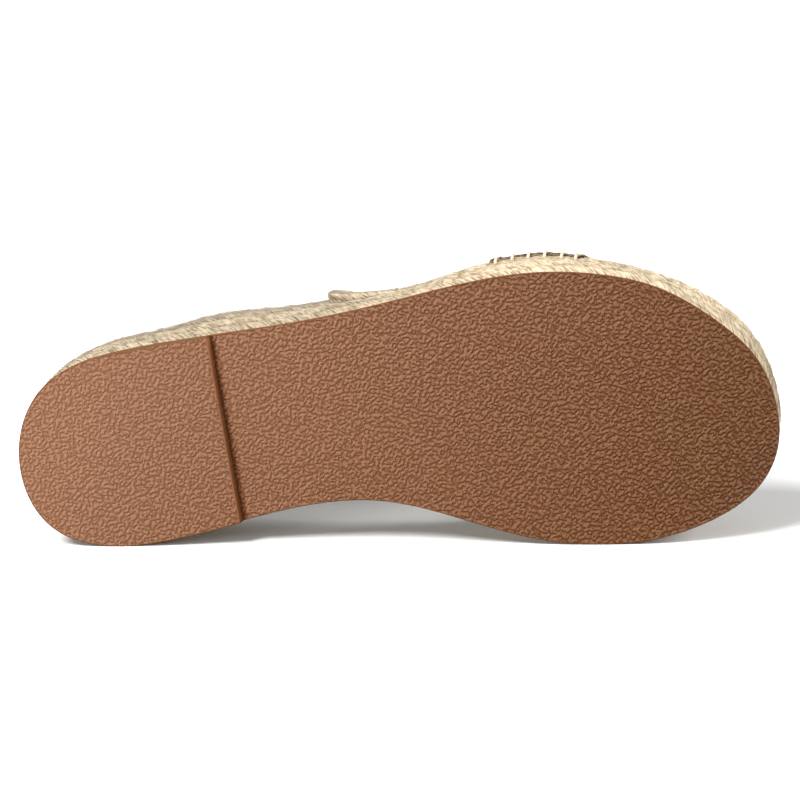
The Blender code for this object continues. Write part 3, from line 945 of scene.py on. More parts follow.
def fibre_skin(settings):
    """Loose fibres of the jute: thin three-sided hairs, each a shallow arc that leaves the wall.

    A hair starts inside the wall and lifts as the square of the distance run. Most lie nearly level, the rest
    at any slant. Lengths and lifts are spread by gamma curves, and only hairs clear of the floor are kept.
    """
    chance = np.random.default_rng(SEED)
    count = settings.fibre_count
    along = chance.uniform(0, EDGE.length, count)
    share = np.clip(chance.beta(1.3, 0.9, count), 0.03, 1.0)
    nearly_level = chance.random(count) < 0.72
    lean = np.where(nearly_level, chance.normal(0, 0.35, count), chance.uniform(-1.5, 1.5, count))
    way = np.where(chance.random(count) < 0.5, 1, -1)
    length = chance.gamma(4.0, 1.25, count).clip(1.5, 11) * MM
    lift = chance.gamma(1.5, 0.13, count).clip(0.03, 0.55) * MM
    bow = chance.normal(0, 0.12, count)
    run = np.linspace(0, 1, 5)[None, :]
    forward = along[:, None] + (way * length * np.cos(lean))[:, None] * run
    climb = (length * np.sin(lean))[:, None] * run + (bow * length)[:, None] * np.sin(math.pi * run)
    height = np.clip(share[:, None] + climb / PLATFORM_HEIGHT, 0.02, 1.01)
    proud = -FIBRE_ROOT + (FIBRE_ROOT + lift)[:, None] * run**2
    path = wall_point(forward, height, proud)
    above_floor = laid_down(path)[..., 2].min(axis=1) > FIBRE_CLEARANCE
    half = settings.fibre_thickness * (1 - 0.55 * run)
    side = wall_direction(forward)
    half = np.broadcast_to(half, path.shape[:-1])
    return cord_skin(path[above_floor], side[above_floor], half[above_floor], half[above_floor], 3)


def insole_skins():
    """Footbed: the outline set in, with a rounded rim and a top that dips under the heel and the ball.

    The dip is the product of a rounded step in from the rim and two bell curves along the sole.
    """
    turns = np.linspace(0, math.pi, 150)
    station = station_at(turns)
    ring = rung_ring(turns)
    base = ring_values(platform_top(station) + 0.1 * MM)
    rim = [
        moved_ring(ring, -INSOLE_INSET - INSOLE_ROUND * (1 - math.cos(a)),
                   base + INSOLE_THICKNESS - INSOLE_ROUND * (1 - math.sin(a)))
        for a in np.linspace(0, math.pi / 2, 6)
    ]
    side = np.stack([moved_ring(ring, -INSOLE_INSET - 0.5 * MM, base)] + rim)
    top = rung_grid(rim[-1], 44)
    away = edge_distance(top, rim[-1])
    station_mm = top[..., 0] / MM
    pressed = sum(
        hollow.share * np.exp(-(((station_mm - hollow.station_mm) / hollow.reach_mm) ** 2))
        for hollow in HOLLOWS
    )
    top[..., 2] -= HOLLOW_DEPTH * pressed * smooth_step((away - HOLLOW_RIM) / HOLLOW_RUN)
    return [skin(side, wrap_columns=True), skin(rung_grid(side[0], 6)), skin(top)]


# Form of the band
def band_column(across, field):
    """One number of the band's sections, read smoothly across its width."""
    knots = np.linspace(0, 1, len(BAND))
    return curve_through(knots, [getattr(section, field) for section in BAND], across)


def ball_bulge(angle):
    """Swelling of the inner side, sin(2a) cos(a)^4 brought to a peak of one, none at foot and crown."""
    shape = np.sin(2 * angle) * np.cos(angle) ** 4
    peak = math.sin(2 * BAND_BULGE_ANGLE) * math.cos(BAND_BULGE_ANGLE) ** 4
    return BAND_INNER_BULGE * shape / peak


def band_lining(across, arch):
    """A point of the band's inner face: share across its width, and angle from outer foot to inner foot.

    Each arch is two quarter superellipses that meet at the crown, one down to each edge of the sole.
    """
    outer_half = np.cos(arch) >= 0
    inset = BAND_HEM_WALL - BAND_PROUD
    outer_x = band_column(across, "outer_mm") * MM
    inner_x = band_column(across, "inner_mm") * MM
    crown_x = band_column(across, "crown_mm") * MM
    outer_t = table_at(OUTLINE, "outer_mm", outer_x) - inset
    inner_t = table_at(OUTLINE, "inner_mm", inner_x) + inset
    crown_t = inner_t + (outer_t - inner_t) * band_column(across, "inner_share")
    square = np.where(outer_half, band_column(across, "outer_square"), band_column(across, "inner_square"))
    spread = np.abs(np.cos(arch)) ** (2 / square)
    foot_x = np.where(outer_half, outer_x, inner_x)
    foot_t = np.where(outer_half, outer_t, inner_t)
    x = crown_x + (foot_x - crown_x) * np.cos(arch) ** 2
    t = crown_t + (foot_t - crown_t) * spread - np.where(outer_half, 0, ball_bulge(math.pi - arch))
    crown_z = SOLE_LENGTH * band_column(across, "height_share") + INSOLE_THICKNESS
    z = platform_top(foot_x) + GAP + crown_z * np.sin(arch).clip(0) ** (2 / square)
    return stacked(x, t, z)


def band_arch_at(across, height, outer):
    """Angle round the arch of a height above the band's foot, from the superellipse turned round."""
    square = band_column(across, "outer_square" if outer else "inner_square")
    crown_z = SOLE_LENGTH * band_column(across, "height_share") + INSOLE_THICKNESS
    angle = np.arcsin(np.clip((height / crown_z) ** (square / 2), 0, 1))
    return angle if outer else math.pi - angle


def band_outward(across, arch):
    """Direction out of the band, from its slopes across and round."""
    arch_low = np.clip(arch - SMALL_STEP, 0.0005, math.pi - 0.0015)
    slope_across = band_lining(across + SMALL_STEP, arch) - band_lining(across - SMALL_STEP, arch)
    slope_round = band_lining(across, arch_low + 2 * SMALL_STEP) - band_lining(across, arch_low)
    return unit(np.cross(slope_round, slope_across))


def band_foot_height(across, arch, lining):
    """Height of points of the band above the foot they belong to."""
    foot_x = np.where(np.cos(arch) >= 0, band_column(across, "outer_mm"), band_column(across, "inner_mm"))
    return np.maximum(lining[..., 2] - platform_top(foot_x * MM) - GAP, 0)


def band_folds(across, arch, foot_height):
    """Height of the band's soft folds: bell-shaped ridges and troughs, and puckers along the sewn feet."""
    up = np.zeros(np.broadcast_shapes(np.shape(across), np.shape(arch)))
    for fold in BAND_FOLDS:
        along = (arch / math.pi - fold.arch) * BAND_ARCH_MM
        beside = (across - fold.across) * BAND_WIDTH_MM
        turn = math.radians(fold.turn_deg)
        run = along * math.cos(turn) + beside * math.sin(turn)
        off = beside * math.cos(turn) - along * math.sin(turn)
        bell = np.exp(-((run / fold.half_length_mm) ** 2) - (off / fold.half_width_mm) ** 2)
        up = up + fold.up_mm * MM * bell
    pucker = np.cos(2 * math.pi * across * BAND_WIDTH_MM / PUCKER_MM) * np.exp(-foot_height / PUCKER_REACH)
    return up - PUCKER_DEPTH * pucker * smooth_step(foot_height / PUCKER_START)


def band_wall(across, foot_height):
    """Thickness of the band: thick in its hems, grooved along their sewing, pressed thin at its feet."""
    near_edge = np.minimum(across, 1 - across)
    in_hem = smooth_step((BAND_HEM_SHARE + HEM_STEP / 2 - near_edge) / HEM_STEP)
    wall = BAND_WALL + (BAND_HEM_WALL - BAND_WALL) * in_hem
    for row in HEM_SEWING:
        wall = wall - GROOVE_DEPTH * np.exp(-(((near_edge - row) / GROOVE_SHARE) ** 2))
    pressed = (FOOT_EDGE_MM + FOOT_MIDDLE_MORE_MM * np.sin(math.pi * np.clip(across, 0, 1))) * MM
    return wall + (pressed - wall) * np.exp(-foot_height / FOOT_REACH)


def band_skins():
    """Canvas band: a closed loop across its width, carried round the arch.

    The loop runs along the outer face, round the front edge through a half circle, back along the lining
    and round the rear edge. The hems are thicker, with a groove along each of their two rows of stitching.
    """
    face = BAND_EDGE_SHARE + (1 - 2 * BAND_EDGE_SHARE) * np.linspace(0, 1, 61)
    bend = np.linspace(math.pi / 2, -math.pi / 2, 8)[1:-1]
    level, turned = np.ones(len(face)), np.sin(bend)
    across = np.concatenate([face, np.full(len(bend), face[-1]), face[::-1], np.full(len(bend), face[0])])
    out_share = np.concatenate([level, (1 + turned) / 2, 0 * level, (1 - turned) / 2])
    past = np.concatenate([0 * level, np.cos(bend), 0 * level, -np.cos(bend)]) * BAND_HEM_WALL / 2
    share = np.linspace(0, 1, 141)
    arch = math.pi * (ARCH_EVEN * share + (1 - ARCH_EVEN) * (1 - np.cos(math.pi * share)) / 2)
    arch = np.clip(arch, ARCH_END, math.pi - ARCH_END)[:, None]
    across = across[None, :]
    lining = band_lining(across, arch)
    outward = band_outward(across, arch)
    forward = unit(band_lining(across + SMALL_STEP, arch) - band_lining(across - SMALL_STEP, arch))
    foot_height = band_foot_height(across, arch, lining)
    wall = band_wall(across, foot_height)
    folds = band_folds(across, arch, foot_height)
    grid = lining + outward * (wall * out_share + folds)[..., None]
    grid = grid + forward * (past * wall / BAND_HEM_WALL)[..., None]
    ends = lining + outward * (wall / 2 + folds)[..., None]
    grid = np.concatenate([ends[:1], grid, ends[-1:]])
    around = path_lengths(np.swapaxes(lining, 0, 1), False)
    around = np.swapaxes(around, 0, 1)
    around = np.concatenate([around[:1], around, around[-1:]])
    around = np.concatenate([around, around[:, :1]], axis=1)
    loop_across = np.append(across[0], across[0, 0]) * BAND_PATTERN_WIDTH
    corners = stacked(loop_across[None, :], around)
    return [skin(grid, wrap_columns=True, corners=corners)]


def hem_stitch_skin():
    """Rows of sewing along both hems: short threads laid end to end in the grooves, each a flat arc."""
    rows = np.concatenate([HEM_SEWING, 1 - np.array(HEM_SEWING)])
    place = np.linspace(*HEM_STITCH_ENDS, HEM_STITCHES)
    across, middle = np.meshgrid(rows, place, indexing="ij")
    across, middle = across.reshape(-1, 1), middle.reshape(-1, 1)
    run = np.linspace(-1, 1, 5)[None, :]
    arch = math.pi * (middle + HEM_STITCH_HALF * run)
    lining = band_lining(across, arch)
    foot_height = band_foot_height(across, arch, lining)
    outward = band_outward(across, arch)
    wall = band_wall(across, foot_height) + band_folds(across, arch, foot_height)
    up = (HEM_STITCH_RISE_MM * (1 - run**2) - HEM_STITCH_DIVE_MM * run**4) * MM
    path = lining + outward * (wall + up)[..., None]
    return cord_skin(path, outward, HEM_THREAD_HALF_WIDTH, HEM_THREAD_HALF_DEPTH, 6)


def stitch_bar_skin(settings, outer):
    """Thick stitches that sew a foot of the band to the jute.

    Each bar comes out of the canvas, runs down over the band's foot and goes into the jute.
    """
    chance = np.random.default_rng(SEED + (1 if outer else 2))
    column = "outer_mm" if outer else "inner_mm"
    first = getattr(BAND[0], column) * MM
    last = getattr(BAND[-1], column) * MM
    station = np.arange(first + FIRST_STITCH, last + LAST_STITCH, settings.stitch_spacing)
    station = station + chance.normal(0, 1, len(station)) * STITCH_JITTER
    knots = np.linspace(0, 1, 201)
    feet = band_column(knots, column) * MM
    across = np.interp(station, feet, knots)[:, None]
    half = settings.stitch_thickness / 2
    rises, lifts = np.array(STITCH_ON_BAND).T
    height = rises[None, :] * settings.stitch_rise
    height = height * (1 + chance.normal(0, STITCH_RISE_JITTER, (len(station), 1)))
    sway = chance.normal(0, STITCH_SWAY, (len(station), 1)) * np.linspace(1, 0, len(rises))[None, :]
    lift = lifts[None, :] * half
    arch = band_arch_at(across, height, outer)
    outward = band_outward(across + sway, arch)
    surface = band_wall(across + sway, height) + band_folds(across + sway, arch, height)
    upper = band_lining(across + sway, arch) + outward * (surface + lift)[..., None]
    side = EDGE.outer > 0.5 if outer else EDGE.outer < 0.5
    order = np.argsort(EDGE.station[side])
    along = np.interp(station, EDGE.station[side][order], EDGE.along[side][order])[:, None]
    drops, lifts = np.array(STITCH_ON_JUTE).T
    drop = drops[None, :] * settings.stitch_drop
    lower = wall_point(along, 1 - drop / PLATFORM_HEIGHT, lifts[None, :] * half)
    wall_side = np.broadcast_to(wall_direction(along), lower.shape)
    path = np.concatenate([upper, lower], axis=1)
    return cord_skin(path, np.concatenate([outward, wall_side], axis=1), half, half * STITCH_FLATTEN, 9)


# Materials
def fill_sockets(tree, node, sockets):
    """Gives a node's sockets, by name or in order, a link from another node's output, or a value."""
    pairs = sockets.items() if isinstance(sockets, dict) else enumerate(sockets)
    for socket, source in pairs:
        if isinstance(source, bpy.types.NodeSocket):
            tree.links.new(source, node.inputs[socket])
        else:
            node.inputs[socket].default_value = source


def add_node(tree, kind, sockets=(), **settings):
    """Adds a shader node of a kind with its settings and sockets, and returns its outputs."""
    node = tree.nodes.new("ShaderNode" + kind)
    for name, value in settings.items():
        setattr(node, name, value)
    fill_sockets(tree, node, sockets)
    return node.outputs


def new_material(name):
    """An empty node material, with what adds a node to it and what fills its shader's sockets."""
    material = bpy.data.materials.new(name)
    material.use_nodes = True
    tree = material.node_tree
    return material, partial(add_node, tree), partial(fill_sockets, tree, tree.nodes["Principled BSDF"])


def opaque(colour):
    """A colour with full cover, as a colour socket takes it."""
    return (*colour, 1.0)


def grain_depth_share(node, plan, settings):
    """Depth of the pebble grain, from 0 on the tops of the pebbles to 1 in the valleys.

    Patches of ripples of one pitch cross at many angles and merge into short, rounded worms, and a second,
    wider set cuts across these. A set's depth is half of one plus the cosine of its phase, to a power that
    narrows the valleys, and the deeper of the two shows. The worms slant at the heel and lie along the foot
    at the toe.
    """
    along = node("SeparateXYZ", (plan,))[0]
    heel_heading, toe_heading = np.radians(GRAIN_HEADING)
    heading = node("MapRange", (along, -SOLE_LENGTH / 2, SOLE_LENGTH / 2, heel_heading, toe_heading))[0]
    valleys = []
    for pitch, row in zip((settings.pebble_width, settings.pebble_length), GRAIN):
        aim = node("Math", (heading, math.radians(row.turn_deg)), operation="ADD")[0]
        scale = 1 / (row.ripples * pitch)
        phase = node("TexGabor", {"Vector": plan, "Scale": scale, "Frequency": row.ripples,
                                  "Anisotropy": row.order, 4: aim})["Phase"]
        angle = node("Math", (phase, 2 * math.pi), operation="MULTIPLY")[0]
        swing = node("Math", (angle,), operation="COSINE")[0]
        share = node("Math", (swing, 0.5, 0.5), operation="MULTIPLY_ADD")[0]
        narrow = node("Math", (share, row.sharpness), operation="POWER")[0]
        valleys.append(node("Math", (narrow, row.depth), operation="MULTIPLY")[0])
    return node("Math", (*valleys, GRAIN_BLEND), operation="SMOOTH_MAX")[0]


def pebbled_rubber(settings):
    """Thermoplastic rubber moulded with a pebble grain: satin brown, dark and dull between the pebbles.

    The brown deepens from heel to toe, partly the rubber's own tone and partly painted light falloff, and is
    duller at the tip, with dusty patches on the forefoot. The dark between the pebbles is painted shade. The
    grain is deeper towards the toe, most of all on its outer side, and smooth along the edge, whose darker
    brown is painted shade. Shade is painted in the corner under the heel's breast, and the breast's smooth
    front is lightened with painted light.
    """
    material, node, shade = new_material("rubber_moulded_pebble_grain")
    place = node("TexCoord")["Object"]
    axes = node("SeparateXYZ", (place,))
    plan = node("CombineXYZ", (axes[0], axes[2]))[0]
    sunk = grain_depth_share(node, plan, settings)
    tone = node("Attribute", attribute_name="tone")["Fac"]
    grain = node("Math", (tone, 0), operation="MAXIMUM")[0]
    valleys = node("Math", (sunk, grain), operation="MULTIPLY")[0]
    slope = node("VectorMath", (place, TOE_LINE), operation="DOT_PRODUCT")["Value"]
    toewards = node("MapRange", (slope, *TOE_SHARE))[0]
    at_tip = node("MapRange", (slope, *TIP_SHARE))[0]
    cloud = node("TexNoise", {"Vector": plan, "Scale": 1 / DUST_SIZE, "Detail": 3}, noise_dimensions="2D")[0]
    dust = node("MapRange", (cloud, *DUST_SHARE))[0]
    fore_dust = node("Math", (dust, toewards), operation="MULTIPLY")[0]
    # The smooth rim takes the rim's darker brown, painted shade
    smooth = node("Math", (1, grain), operation="SUBTRACT")[0]
    # Painted shade in the valleys of the grain, stronger towards the toe
    dark_share = node("MapRange", (toewards, *TOE_DARK))[0]
    shaded = node("Math", (valleys, dark_share), operation="MULTIPLY")[0]
    # The breast's front, lightened with painted light
    breast_face = node("Math", (tone, -1), operation="MULTIPLY", use_clamp=True)[0]
    # Painted shade in the corner under the breast, jagged with the grain
    corner = node("SeparateXYZ", (node("UVMap", uv_map="run")[0],))[0]
    jagged = node("Math", (sunk, 0.7, 0.55), operation="MULTIPLY_ADD")[0]
    jagged_corner_shade = node("Math", (corner, jagged), operation="MULTIPLY")[0]
    painted_corner_shade = node("MapRange", (jagged_corner_shade, *CORNER_SHADE_SHARE))[0]
    # Colours laid over the heel's brown one after the other, each by its share: the toe's darker brown
    # (partly painted light falloff), the tip, dust, the rim's painted shade, the valleys' painted shade, the
    # breast front's painted light and the corner's painted shade
    layers = (
        (toewards, settings.toe_colour),
        (at_tip, settings.tip_colour),
        (fore_dust, settings.olive_colour),
        (smooth, settings.shaded_edge_colour),
        (shaded, settings.valley_shade_colour),
        (breast_face, settings.breast_colour_and_light),
        (painted_corner_shade, settings.corner_shade_colour),
    )
    colour = opaque(settings.heel_colour)
    for share, laid_over in layers:
        colour = node("Mix", {0: share, 6: colour, 7: opaque(laid_over)}, data_type="RGBA")[2]
    dull = node("MapRange", (valleys, *VALLEY_DULL))[0]
    gloss = node("MapRange", (valleys, *VALLEY_SHINE))[0]
    rim_gloss = node("MapRange", (grain, *RIM_SHINE))[0]
    # No shine where the corner's shade is painted
    gloss_outside_corner = node("Math", (rim_gloss, painted_corner_shade), operation="SUBTRACT", use_clamp=True)[0]
    shine = node("Math", (gloss, gloss_outside_corner), operation="MULTIPLY")[0]
    depth_share = node("MapRange", (toewards, *TOE_DEPTH))[0]
    outwards = node("VectorMath", (place, OUTER_TOE_LINE), operation="DOT_PRODUCT")["Value"]
    outer_toe = node("MapRange", (outwards, *OUTER_TOE_DEPTH))[0]
    deep = node("Math", (valleys, depth_share), operation="MULTIPLY")[0]
    depth = node("Math", (deep, outer_toe), operation="MULTIPLY")[0]
    bump = node("Bump", {"Strength": 1, "Distance": settings.grain_depth, "Height": depth})[0]
    shade({"Base Color": colour, "Roughness": dull, "Specular IOR Level": shine, "Normal": bump,
           "Specular Tint": opaque(settings.shine_colour), "IOR": 1.5})
    return material


def jute_strand(settings, name, streak, twist, across, depth):
    """Natural jute, spun and laid into strands: matt cream fibres over grey brown ones, with a twist.

    Fibres are long streaks along the strand. Real ones are under a tenth of a millimetre wide and are
    drawn about ten times coarser so that they show. The heel half is darkened with painted shade, and a grey
    line of painted shade runs along it under the wall's crest.
    """
    material, node, shade = new_material(name)
    place = node("TexCoord")["Object"]
    run = node("SeparateXYZ", (node("UVMap", uv_map="run")[0],))
    turned = node("Math", (run[0], 1 / twist, run[1]), operation="MULTIPLY_ADD")[0]
    slanted = node("CombineXYZ", (run[0], turned))[0]
    lines = node("Mapping", {"Vector": slanted, "Scale": (streak, across, 1)}, vector_type="TEXTURE")[0]
    fibre = node("TexNoise", {"Vector": lines, "Scale": 1, "Detail": 2, "Roughness": 0.6},
                 noise_dimensions="2D")[0]
    blotch = node("TexNoise", {"Vector": place, "Scale": 1 / JUTE_BLOTCH, "Detail": 3})[0]
    mixed = node("Math", (blotch, 0.35, fibre), operation="MULTIPLY_ADD")[0]
    light = node("MapRange", (mixed, *JUTE_LIGHT))[0]
    spun = node("Mix", {0: light, 6: opaque(settings.shade_colour), 7: opaque(settings.light_colour)},
                data_type="RGBA")[2]
    spot = node("SeparateXYZ", (place,))
    # Painted shade over the wall's heel half
    heelwards = node("MapRange", (spot[0], *JUTE_HEEL_SHADE), interpolation_type="SMOOTHSTEP")[0]
    heel_shaded = node("Mix", {0: heelwards, 6: spun, 7: opaque(settings.heel_shade_colour)},
                  data_type="RGBA", blend_type="MULTIPLY")[2]
    # Painted shade: a grey line under the crest, on the heel half
    crest = BALL_POINT[1] + OUTSOLE_THICKNESS + PLATFORM_HEIGHT - CREST_DROP
    below_crest = node("Math", (spot[1], crest), operation="SUBTRACT")[0]
    from_crest = node("Math", (below_crest,), operation="ABSOLUTE")[0]
    line = node("MapRange", (from_crest, *CREST_SHADE))[0]
    crest_shaded = node("Math", (line, heelwards), operation="MULTIPLY")[0]
    colour = node("Mix", {0: crest_shaded, 6: heel_shaded, 7: opaque(settings.shaded_edge_colour)}, data_type="RGBA")[2]
    bump = node("Bump", {"Strength": 1, "Distance": depth, "Height": fibre})[0]
    shade({"Base Color": colour, "Normal": bump, "Roughness": 0.86, "Sheen Weight": 0.15, "IOR": 1.45})
    return material


def woven_cloth(name, spacing, colour, raised_colour, use_run, roughness, depth):
    """Plain woven cloth: threads over and under each other, matt, lighter on the raised threads.

    Each crossing is a bump, the product of two sines one thread apart. The thread on top is the one whose
    sign the product has, so streaks of uneven yarn run one way on it and the other way beside it.
    """
    material, node, shade = new_material(name)
    place = node("UVMap", uv_map="run")[0] if use_run else node("TexCoord")["Object"]
    axes = node("SeparateXYZ", (place,))
    first, second = axes[0], axes[1 if use_run else 2]
    waves = []
    for axis in (first, second):
        scaled = node("Math", (axis, math.pi / spacing), operation="MULTIPLY")[0]
        waves.append(node("Math", (scaled,), operation="SINE")[0])
    product = node("Math", waves, operation="MULTIPLY")[0]
    crossing = node("Math", (product,), operation="ABSOLUTE")[0]
    on_top = node("Math", (product, 0), operation="GREATER_THAN")[0]
    plan = node("CombineXYZ", (first, second))[0]
    long, short = spacing * STREAK_LENGTH, spacing * STREAK_WIDTH
    streaks = []
    for scale in ((long, short, 1), (short, long, 1)):
        lines = node("Mapping", {"Vector": plan, "Scale": scale}, vector_type="TEXTURE")[0]
        streaks.append(node("TexNoise", {"Vector": lines, "Scale": 1, "Detail": 2}, noise_dimensions="2D")[0])
    yarn = node("Mix", {0: on_top, 2: streaks[0], 3: streaks[1]})[0]
    raised = node("Math", (crossing, yarn), operation="MULTIPLY")[0]
    light = node("MapRange", (raised, *CLOTH_LIGHT))[0]
    blend = node("Mix", {0: light, 6: opaque(colour), 7: opaque(raised_colour)}, data_type="RGBA")[2]
    bump = node("Bump", {"Strength": 0.8, "Distance": depth, "Height": raised})[0]
    shade({"Base Color": blend, "Normal": bump, "Roughness": roughness, "Specular IOR Level": 0.08,
           "Sheen Weight": 0.02})
    return material


def twisted_thread(name, colour, pitch):
    """Plied cotton thread, twisted: matt, with slanting plies and a darker joint between them."""
    material, node, shade = new_material(name)
    run = node("SeparateXYZ", (node("UVMap", uv_map="run")[0],))
    angle = node("Math", (run[0], 1 / pitch, run[1]), operation="MULTIPLY_ADD")[0]
    turn = node("Math", (angle, 3 * math.pi), operation="MULTIPLY")[0]
    wave = node("Math", (turn,), operation="SINE")[0]
    ply = node("Math", (wave,), operation="ABSOLUTE")[0]
    place = node("TexCoord")["Object"]
    fuzz = node("TexNoise", {"Vector": place, "Scale": 1 / FUZZ_SIZE, "Detail": 2})[0]
    form = node("Math", (fuzz, 0.4, ply), operation="MULTIPLY_ADD")[0]
    light = node("MapRange", (form, *PLY_LIGHT))[0]
    dark = tuple(0.45 * channel for channel in colour)
    blend = node("Mix", {0: light, 6: opaque(dark), 7: opaque(colour)}, data_type="RGBA")[2]
    bump = node("Bump", {"Strength": 0.8, "Distance": 0.2 * MM, "Height": form})[0]
    shade({"Base Color": blend, "Normal": bump, "Roughness": 0.8})
    return material


def paper_floor(settings):
    """Matt white paper: even, with the faintest tooth."""
    material, node, shade = new_material("paper_matt")
    place = node("TexCoord")["Object"]
    tooth = node("TexNoise", {"Vector": place, "Scale": 1 / (2 * MM), "Detail": 2})[0]
    bump = node("Bump", {"Strength": 0.1, "Distance": 0.05 * MM, "Height": tooth})[0]
    shade({"Base Color": opaque(settings.floor_colour), "Normal": bump, "Roughness": 0.95})
    return material


# Operators
class SANDAL_OT_outsole(bpy.types.Operator):
    """Make the rubber outsole with its stepped heel and pebble grain"""

    bl_idname = "sandal.outsole"
    bl_label = "Outsole"

    def execute(self, context):
        settings = context.scene.sandal_outsole
        add_piece("outsole_rubber", outsole_skins(settings), pebbled_rubber(settings), ["outsole"])
        return {"FINISHED"}


class SANDAL_OT_jute_wall(bpy.types.Operator):
    """Make the jute wall: a core, a laid rope at the bottom and two plaits above it"""

    bl_idname = "sandal.jute_wall"
    bl_label = "Jute wall"

    def execute(self, context):
        settings = context.scene.sandal_jute
        rope = jute_strand(settings, "jute_laid_rope", 4 * MM, 1.0, 0.28, 0.8 * MM)
        plait = jute_strand(settings, "jute_plaited_strand", 4 * MM, 14 * MM, 0.075, 0.8 * MM)
        replaced = ["jute_platform"]
        add_piece("jute_core", core_skins(), plait, replaced)
        add_piece("jute_rope_bottom", [rope_skin(settings)], rope, replaced)
        add_piece("jute_plait_middle", [plait_skin(settings, 1, 0.4)], plait, replaced)
        add_piece("jute_plait_top", [plait_skin(settings, 2, 2.9)], plait, replaced)
        return {"FINISHED"}


class SANDAL_OT_jute_tail(bpy.types.Operator):
    """Make the cut end of the braid on the outer side and the loose fibres of the wall"""

    bl_idname = "sandal.jute_tail"
    bl_label = "Braid end and fibres"

    def execute(self, context):
        settings = context.scene.sandal_jute
        strand = jute_strand(settings, "jute_cut_braid", 4.5 * MM, 12 * MM, 0.1, 0.8 * MM)
        fibre = jute_strand(settings, "jute_loose_fibre", 3 * MM, 1.0, 0.5, 0.02 * MM)
        add_piece("jute_tail_fold", tail_skins(), strand, ["jute_braid_tail"])
        add_piece("jute_fibres", [fibre_skin(settings)], fibre, ["jute_platform"])
        return {"FINISHED"}


class SANDAL_OT_insole(bpy.types.Operator):
    """Make the linen footbed"""

    bl_idname = "sandal.insole"
    bl_label = "Insole"

    def execute(self, context):
        settings = context.scene.sandal_upper
        # Linen threads lie under a millimetre apart and are drawn at 1.1 mm so that they show
        cloth = woven_cloth("linen_woven", 1.1 * MM, settings.linen_shade_colour, settings.linen_colour,
                            False, 0.9, 0.3 * MM)
        add_piece("insole_footbed", insole_skins(), cloth, ["insole"])
        return {"FINISHED"}


class SANDAL_OT_upper_band(bpy.types.Operator):
    """Make the canvas band with its hems and their sewing"""

    bl_idname = "sandal.upper_band"
    bl_label = "Canvas band"

    def execute(self, context):
        settings = context.scene.sandal_upper
        canvas = woven_cloth("cotton_canvas_woven", settings.weave_spacing, settings.canvas_colour,
                             settings.canvas_thread_colour, True, 0.85, 0.25 * MM)
        thread = twisted_thread("cotton_sewing_thread", settings.canvas_thread_colour, 1.2 * MM)
        band = add_piece("band_canvas", band_skins(), canvas, ["upper_band"])
        sewing = add_piece("band_hem_sewing", [hem_stitch_skin()], thread, ["upper_band"])
        return {"FINISHED"}


class SANDAL_OT_stitch_bars(bpy.types.Operator):
    """Make the thick stitches that join the band to the jute on both sides"""

    bl_idname = "sandal.stitch_bars"
    bl_label = "Stitches"

    def execute(self, context):
        settings = context.scene.sandal_upper
        thread = twisted_thread("cotton_plied_thread", settings.stitch_colour, 2.4 * MM)
        for name, outer in (("stitches_outer", True), ("stitches_inner", False)):
            add_piece(name, [stitch_bar_skin(settings, outer)], thread, ["upper_band"])
        return {"FINISHED"}


# Lamps: a disk's size is its width in metres and its power in watts, a far lamp's size is the angle it
# fills in degrees and its power in watts a square metre
Lamp = namedtuple("Lamp", "name kind place size power")
LAMPS = (
    Lamp("window_left", "SUN", (-0.34, -0.52, 0.78), 25.0, 4.8),
    Lamp("softbox_heel", "AREA", (-0.60, -0.62, 0.16), 0.35, 4.0),
    Lamp("window_toe", "SUN", (0.85, 0.05, 0.52), 25.0, 2.2),
)
SKY_STRENGTH = 0.32
FLOOR_HALF = 6.0
SENSOR_MM = 36


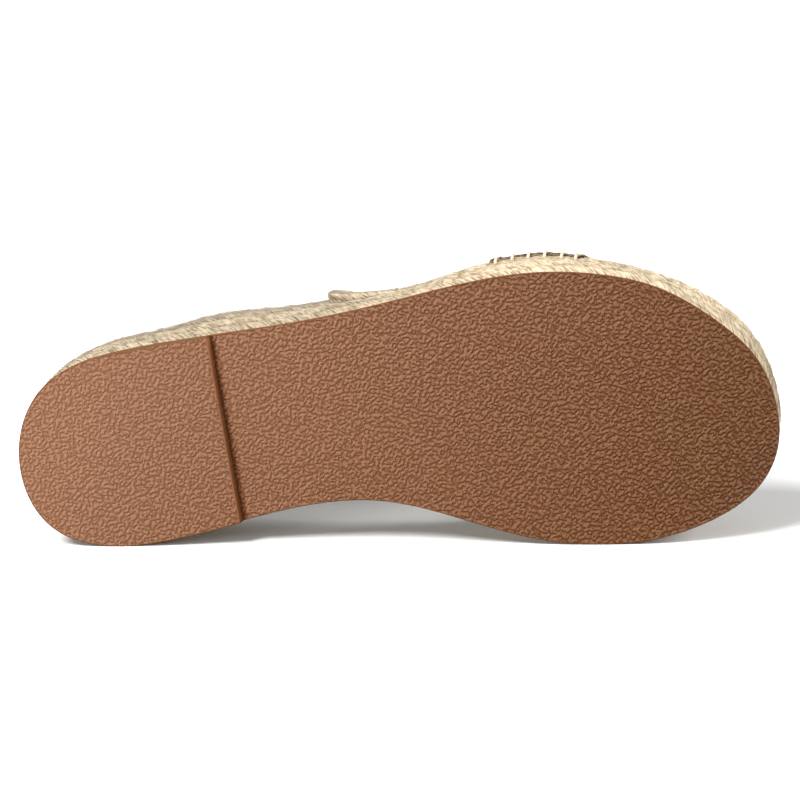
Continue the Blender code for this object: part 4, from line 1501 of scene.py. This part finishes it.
class SANDAL_OT_stage(bpy.types.Operator):
    """Make the floor, the lights and the camera at the photograph's angle"""

    bl_idname = "sandal.stage"
    bl_label = "Stage"

    def execute(self, context):
        settings = context.scene.sandal_stage
        scene = context.scene
        scene.view_settings.view_transform = "Standard"
        scene.view_settings.look = "None"
        mesh = bpy.data.meshes.new("floor")
        corners = [(FLOOR_HALF * x, FLOOR_HALF * y, 0) for x, y in ((-1, -1), (1, -1), (1, 1), (-1, 1))]
        mesh.from_pydata(corners, [], [(0, 1, 2, 3)])
        mesh.materials.append(paper_floor(settings))
        floor = bpy.data.objects.new("floor", mesh)
        # The floor throws no light back on the shoe, as in a cut-out picture
        floor.visible_diffuse = False
        scene.collection.objects.link(floor)
        world = bpy.data.worlds.new("studio")
        world.use_nodes = True
        background = world.node_tree.nodes["Background"]
        background.inputs["Color"].default_value = (1.0, 1.0, 1.0, 1.0)
        background.inputs["Strength"].default_value = SKY_STRENGTH
        scene.world = world
        middle = Vector(settings.target)
        for lamp in LAMPS:
            light = bpy.data.lights.new(lamp.name, lamp.kind)
            light.energy = lamp.power
            if lamp.kind == "SUN":
                light.angle = math.radians(lamp.size)
            else:
                light.shape = "DISK"
                light.size = lamp.size
            hung = bpy.data.objects.new(lamp.name, light)
            hung.location = lamp.place
            hung.rotation_mode = "QUATERNION"
            hung.rotation_quaternion = (middle - Vector(lamp.place)).to_track_quat("-Z", "Y")
            scene.collection.objects.link(hung)
        lens = bpy.data.cameras.new("camera")
        lens.lens = settings.lens
        lens.sensor_width = SENSOR_MM
        lens.clip_start = 0.01
        lens.clip_end = 100
        camera = bpy.data.objects.new("camera", lens)
        azimuth, elevation = settings.azimuth, settings.elevation
        level = math.cos(elevation)
        back = Vector((math.sin(azimuth) * level, -math.cos(azimuth) * level, math.sin(elevation)))
        turn = (-back).to_track_quat("-Z", "Y").to_matrix().to_4x4()
        placed = Matrix.Translation(middle + back * settings.distance)
        camera.matrix_world = placed @ turn @ Matrix.Rotation(settings.roll, 4, "Z")
        scene.collection.objects.link(camera)
        scene.camera = camera
        return {"FINISHED"}


OPERATORS = (
    SANDAL_OT_stage,
    SANDAL_OT_outsole,
    SANDAL_OT_jute_wall,
    SANDAL_OT_jute_tail,
    SANDAL_OT_insole,
    SANDAL_OT_upper_band,
    SANDAL_OT_stitch_bars,
)


class SANDAL_PT_pieces(bpy.types.Panel):
    """Lists the sandal's pieces and their settings"""

    bl_idname = "SANDAL_PT_pieces"
    bl_label = "Jute platform slide"
    bl_space_type = "VIEW_3D"
    bl_region_type = "UI"
    bl_category = "Sandal"

    def draw(self, context):
        for group in SETTINGS:
            box = self.layout.box()
            settings = getattr(context.scene, group)
            for name in settings.bl_rna.properties.keys():
                if name not in {"rna_type", "name"}:
                    box.prop(settings, name)
        for operator in OPERATORS:
            self.layout.operator(operator.bl_idname)


SETTINGS = {
    "sandal_outsole": OutsoleSettings,
    "sandal_jute": JuteSettings,
    "sandal_upper": UpperSettings,
    "sandal_stage": StageSettings,
}


def register():
    for name, group in SETTINGS.items():
        bpy.utils.register_class(group)
        setattr(bpy.types.Scene, name, bpy.props.PointerProperty(type=group))
    for cls in (*OPERATORS, SANDAL_PT_pieces):
        bpy.utils.register_class(cls)


def unregister():
    for cls in (SANDAL_PT_pieces, *reversed(OPERATORS)):
        bpy.utils.unregister_class(cls)
    for name, group in SETTINGS.items():
        delattr(bpy.types.Scene, name)
        bpy.utils.unregister_class(group)


def main():
    register()
    bpy.ops.sandal.stage()
    bpy.ops.sandal.outsole()
    bpy.ops.sandal.jute_wall()
    bpy.ops.sandal.jute_tail()
    bpy.ops.sandal.insole()
    bpy.ops.sandal.upper_band()
    bpy.ops.sandal.stitch_bars()


if __name__ == "__main__":
    main()
